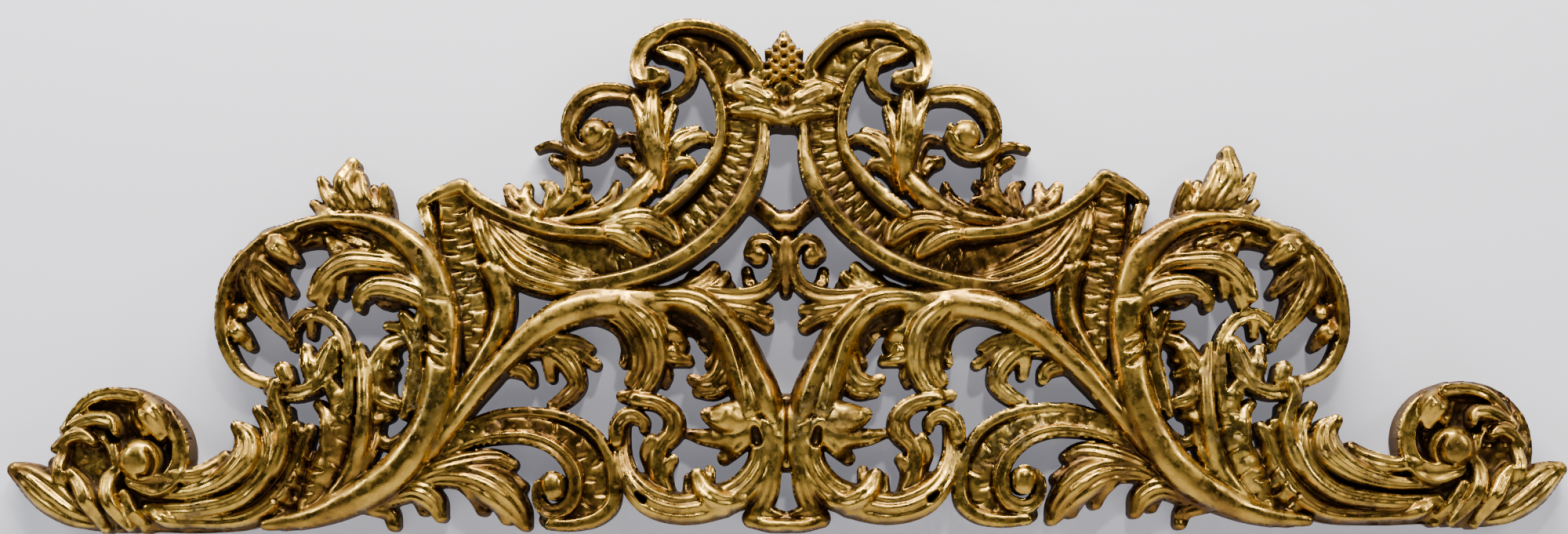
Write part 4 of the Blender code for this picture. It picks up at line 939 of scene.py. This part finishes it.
def gilding():
    """Burnished leaf on bole: brown patina in the hollows, painted shade in the hollows, on the deep ground
    and on the side walls, a painted highlight on the crests, grey and red wear, and a bare wooden back.
    """
    material = bpy.data.materials.new("Worn gold leaf, painted shade and highlight")
    n = Nodes(material)
    where = n.new("ShaderNodeTexCoord")
    n.place = where.outputs["Object"]
    height = n.maths("MULTIPLY", n.part(n.place, "Y"), -1 / RELIEF_DEPTH)
    facing = n.maths("MULTIPLY", n.part(where.outputs["Normal"], "Y"), -1)
    side_wall = n.ranged(facing, 0.30, 0.10)
    # Painted shade: side walls are given a set hollowness of 0.42, so the brown of the hollows darkens
    # them.
    hollow_by = n.mix_value(side_wall, n.attribute("hollow"), 0.42)

    broad, middle, fine = n.noise(7), n.noise(24), n.noise(170, detail=6)
    streak = n.noise(75, detail=5, roughness=0.7)
    gold = n.mix(n.ranged(broad, 0.38, 0.62), GOLD_DEEP, GOLD_PALE)
    # Painted highlight: crests that stand above their surroundings are mixed towards pale gold.
    crest = n.maths("MULTIPLY", n.ranged(hollow_by, 0.04, -0.40), 0.8)
    gold = n.mix(crest, gold, GOLD_PALE)
    patches = n.ranged(middle, 0.42, 0.66, 0, 0.62)
    patches = n.maths("ADD", patches, n.ranged(streak, 0.48, 0.70, 0, 0.22))
    # Brown patina in the hollows plus random brown patches. The brown in the hollows is also painted shade.
    browned_and_shaded = n.maths("ADD", n.ranged(hollow_by, -0.05, 0.60), patches)
    gold = n.mix(n.maths("MULTIPLY", browned_and_shaded, 0.92), gold, GOLD_BROWN)

    rubbed = n.maths("MULTIPLY", n.ranged(fine, 0.53, 0.64), n.ranged(middle, 0.49, 0.60))
    grey = n.maths("MULTIPLY", n.ranged(broad, 0.56, 0.66), n.ranged(fine, 0.48, 0.58))
    # Dirt in the deepest hollows, which is partly painted shade there.
    grime_and_shade = n.maths("MULTIPLY", n.ranged(hollow_by, 0.40, 1.0, 0, 0.72), n.ranged(middle, 0.2, 0.6, 0.6, 1))
    # Painted shade: places that lie deep near the back, such as pits and the lower side walls, are
    # darkened.
    low = n.ranged(height, 0.34, 0.02, 0, 0.85)
    # Painted shade on the deep ground and, almost fully, on the side walls.
    for darkened_by in (low, n.maths("MULTIPLY", side_wall, 0.88)):
        grime_and_shade = n.maths("MAXIMUM", grime_and_shade, darkened_by)
    colour = n.mix(n.maths("MULTIPLY", rubbed, 0.40), gold, BOLE_RED)
    colour = n.mix(n.maths("MULTIPLY", grey, 0.45), colour, WORN_GREY)
    # The dark of dirt and of painted shade is mixed in here.
    colour = n.mix(grime_and_shade, colour, GRIME_AND_SHADE)
    ungilt = n.ranged(facing, -0.3, -0.7)
    colour = n.mix(ungilt, colour, BARE_WOOD)
    n.link(colour, n.shader.inputs["Base Color"])

    bare = n.maths("MULTIPLY", rubbed, 0.5)
    for bared_by in (grime_and_shade, ungilt, side_wall):
        bare = n.maths("MAXIMUM", bare, bared_by)
    n.link(n.mix_value(bare, 1.0, 0.0), n.shader.inputs["Metallic"])
    sheen = n.mix_value(n.ranged(streak, 0.35, 0.65), 0.20, 0.42)
    n.link(n.mix_value(bare, sheen, 0.70), n.shader.inputs["Roughness"])

    n.link(n.mix_value(bare, 0.5, 0.1), n.shader.inputs["Specular IOR Level"])

    dents = n.noise(90, detail=3)
    bump = n.new("ShaderNodeBump")
    bump.inputs["Strength"].default_value = 0.30
    bump.inputs["Distance"].default_value = 0.0014
    dents = n.maths("ADD", n.maths("MULTIPLY", dents, 0.7), n.maths("MULTIPLY", fine, 0.3))
    n.link(dents, bump.inputs["Height"])
    n.link(bump.outputs["Normal"], n.shader.inputs["Normal"])
    return material


# The wall, the floor, the light and the camera


def plain(name, colour, roughness, glow=0.0, seen_from_behind=True):
    """A plain matt paint. A wall that isn't seen from behind lets the other views through."""
    material = bpy.data.materials.new(name)
    n = Nodes(material)
    n.shader.inputs["Base Color"].default_value = (*colour, 1)
    n.shader.inputs["Roughness"].default_value = roughness
    n.shader.inputs["Emission Color"].default_value = (*colour, 1)
    n.shader.inputs["Emission Strength"].default_value = glow
    if not seen_from_behind:
        clear = n.new("ShaderNodeBsdfTransparent")
        either = n.new("ShaderNodeMixShader")
        n.link(n.new("ShaderNodeNewGeometry").outputs["Backfacing"], either.inputs[0])
        n.link(n.shader.outputs[0], either.inputs[1])
        n.link(clear.outputs[0], either.inputs[2])
        n.link(either.outputs[0], n.tree.nodes["Material Output"].inputs["Surface"])
    return material


def sheet(name, corners, material):
    mesh = bpy.data.meshes.new(name)
    mesh.from_pydata(corners, [], [(0, 1, 2, 3)])
    mesh.materials.append(material)
    obj = bpy.data.objects.new(name, mesh)
    bpy.context.scene.collection.objects.link(obj)


def area_light(name, place, target, width, height, power, colour):
    light = bpy.data.lights.new(name, "AREA")
    light.shape = "RECTANGLE"
    light.size, light.size_y = width, height
    light.energy = power
    light.color = colour
    obj = bpy.data.objects.new(name, light)
    obj.location = place
    obj.rotation_euler = (Vector(target) - Vector(place)).to_track_quat("-Z", "Y").to_euler()
    bpy.context.scene.collection.objects.link(obj)


FLOOR_Z = -1.30
WALL_GAP = 0.003
ROOM_SIDE = 4
ROOM_FRONT = -5
ROOM_BACK = 3
WALL_TOP = 3
sheet("wall", [(-ROOM_SIDE, WALL_GAP, FLOOR_Z), (ROOM_SIDE, WALL_GAP, FLOOR_Z),
               (ROOM_SIDE, WALL_GAP, WALL_TOP), (-ROOM_SIDE, WALL_GAP, WALL_TOP)],
      plain("Wall paint", (0.76, 0.775, 0.89), 0.9, glow=0.25, seen_from_behind=False))
sheet("floor", [(-ROOM_SIDE, ROOM_FRONT, FLOOR_Z), (ROOM_SIDE, ROOM_FRONT, FLOOR_Z),
                (ROOM_SIDE, ROOM_BACK, FLOOR_Z), (-ROOM_SIDE, ROOM_BACK, FLOOR_Z)],
      plain("Floor paint", (0.64, 0.63, 0.61), 0.8))

relief = carved_relief()
relief.data.materials.clear()
relief.data.materials.append(gilding())
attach(relief, "root")
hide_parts("carved_panel")

world = bpy.data.worlds.new("Room")
world.use_nodes = True
world.node_tree.nodes["Background"].inputs["Color"].default_value = (0.80, 0.85, 1.0, 1)
world.node_tree.nodes["Background"].inputs["Strength"].default_value = 0.045
bpy.context.scene.world = world

PANEL_MIDDLE = (0.0, -0.03, 0.16)
area_light("ceiling", (-0.2, -0.85, 2.0), PANEL_MIDDLE, 2.4, 0.22, 170, (1.0, 0.95, 0.86))
area_light("left window", (-2.4, -1.2, 1.3), PANEL_MIDDLE, 0.22, 0.9, 34, (0.95, 0.98, 1.0))
area_light("right lamp", (2.3, -1.3, 1.1), PANEL_MIDDLE, 0.22, 0.7, 24, (1.0, 0.96, 0.9))
area_light("front fill", (0.4, -2.8, 1.9), PANEL_MIDDLE, 0.30, 0.25, 30, (1.0, 0.97, 0.92))

PHOTO_WIDTH, PHOTO_HEIGHT = 2000, 681
CAMERA_DISTANCE = 2.9
CAMERA_BELOW = math.radians(6)
AIM = Vector((world_x(PHOTO_WIDTH / 2), -0.03, world_z(PHOTO_HEIGHT / 2)))
camera = bpy.data.cameras.new("camera")
camera.sensor_width = 36
camera.lens = camera.sensor_width * CAMERA_DISTANCE / (PHOTO_WIDTH * UNIT)
viewer = bpy.data.objects.new("camera", camera)
back_off = Vector((0, -math.cos(CAMERA_BELOW), -math.sin(CAMERA_BELOW)))
viewer.location = AIM + back_off * CAMERA_DISTANCE
viewer.rotation_euler = (-back_off).to_track_quat("-Z", "Y").to_euler()
bpy.context.scene.collection.objects.link(viewer)
bpy.context.scene.camera = viewer
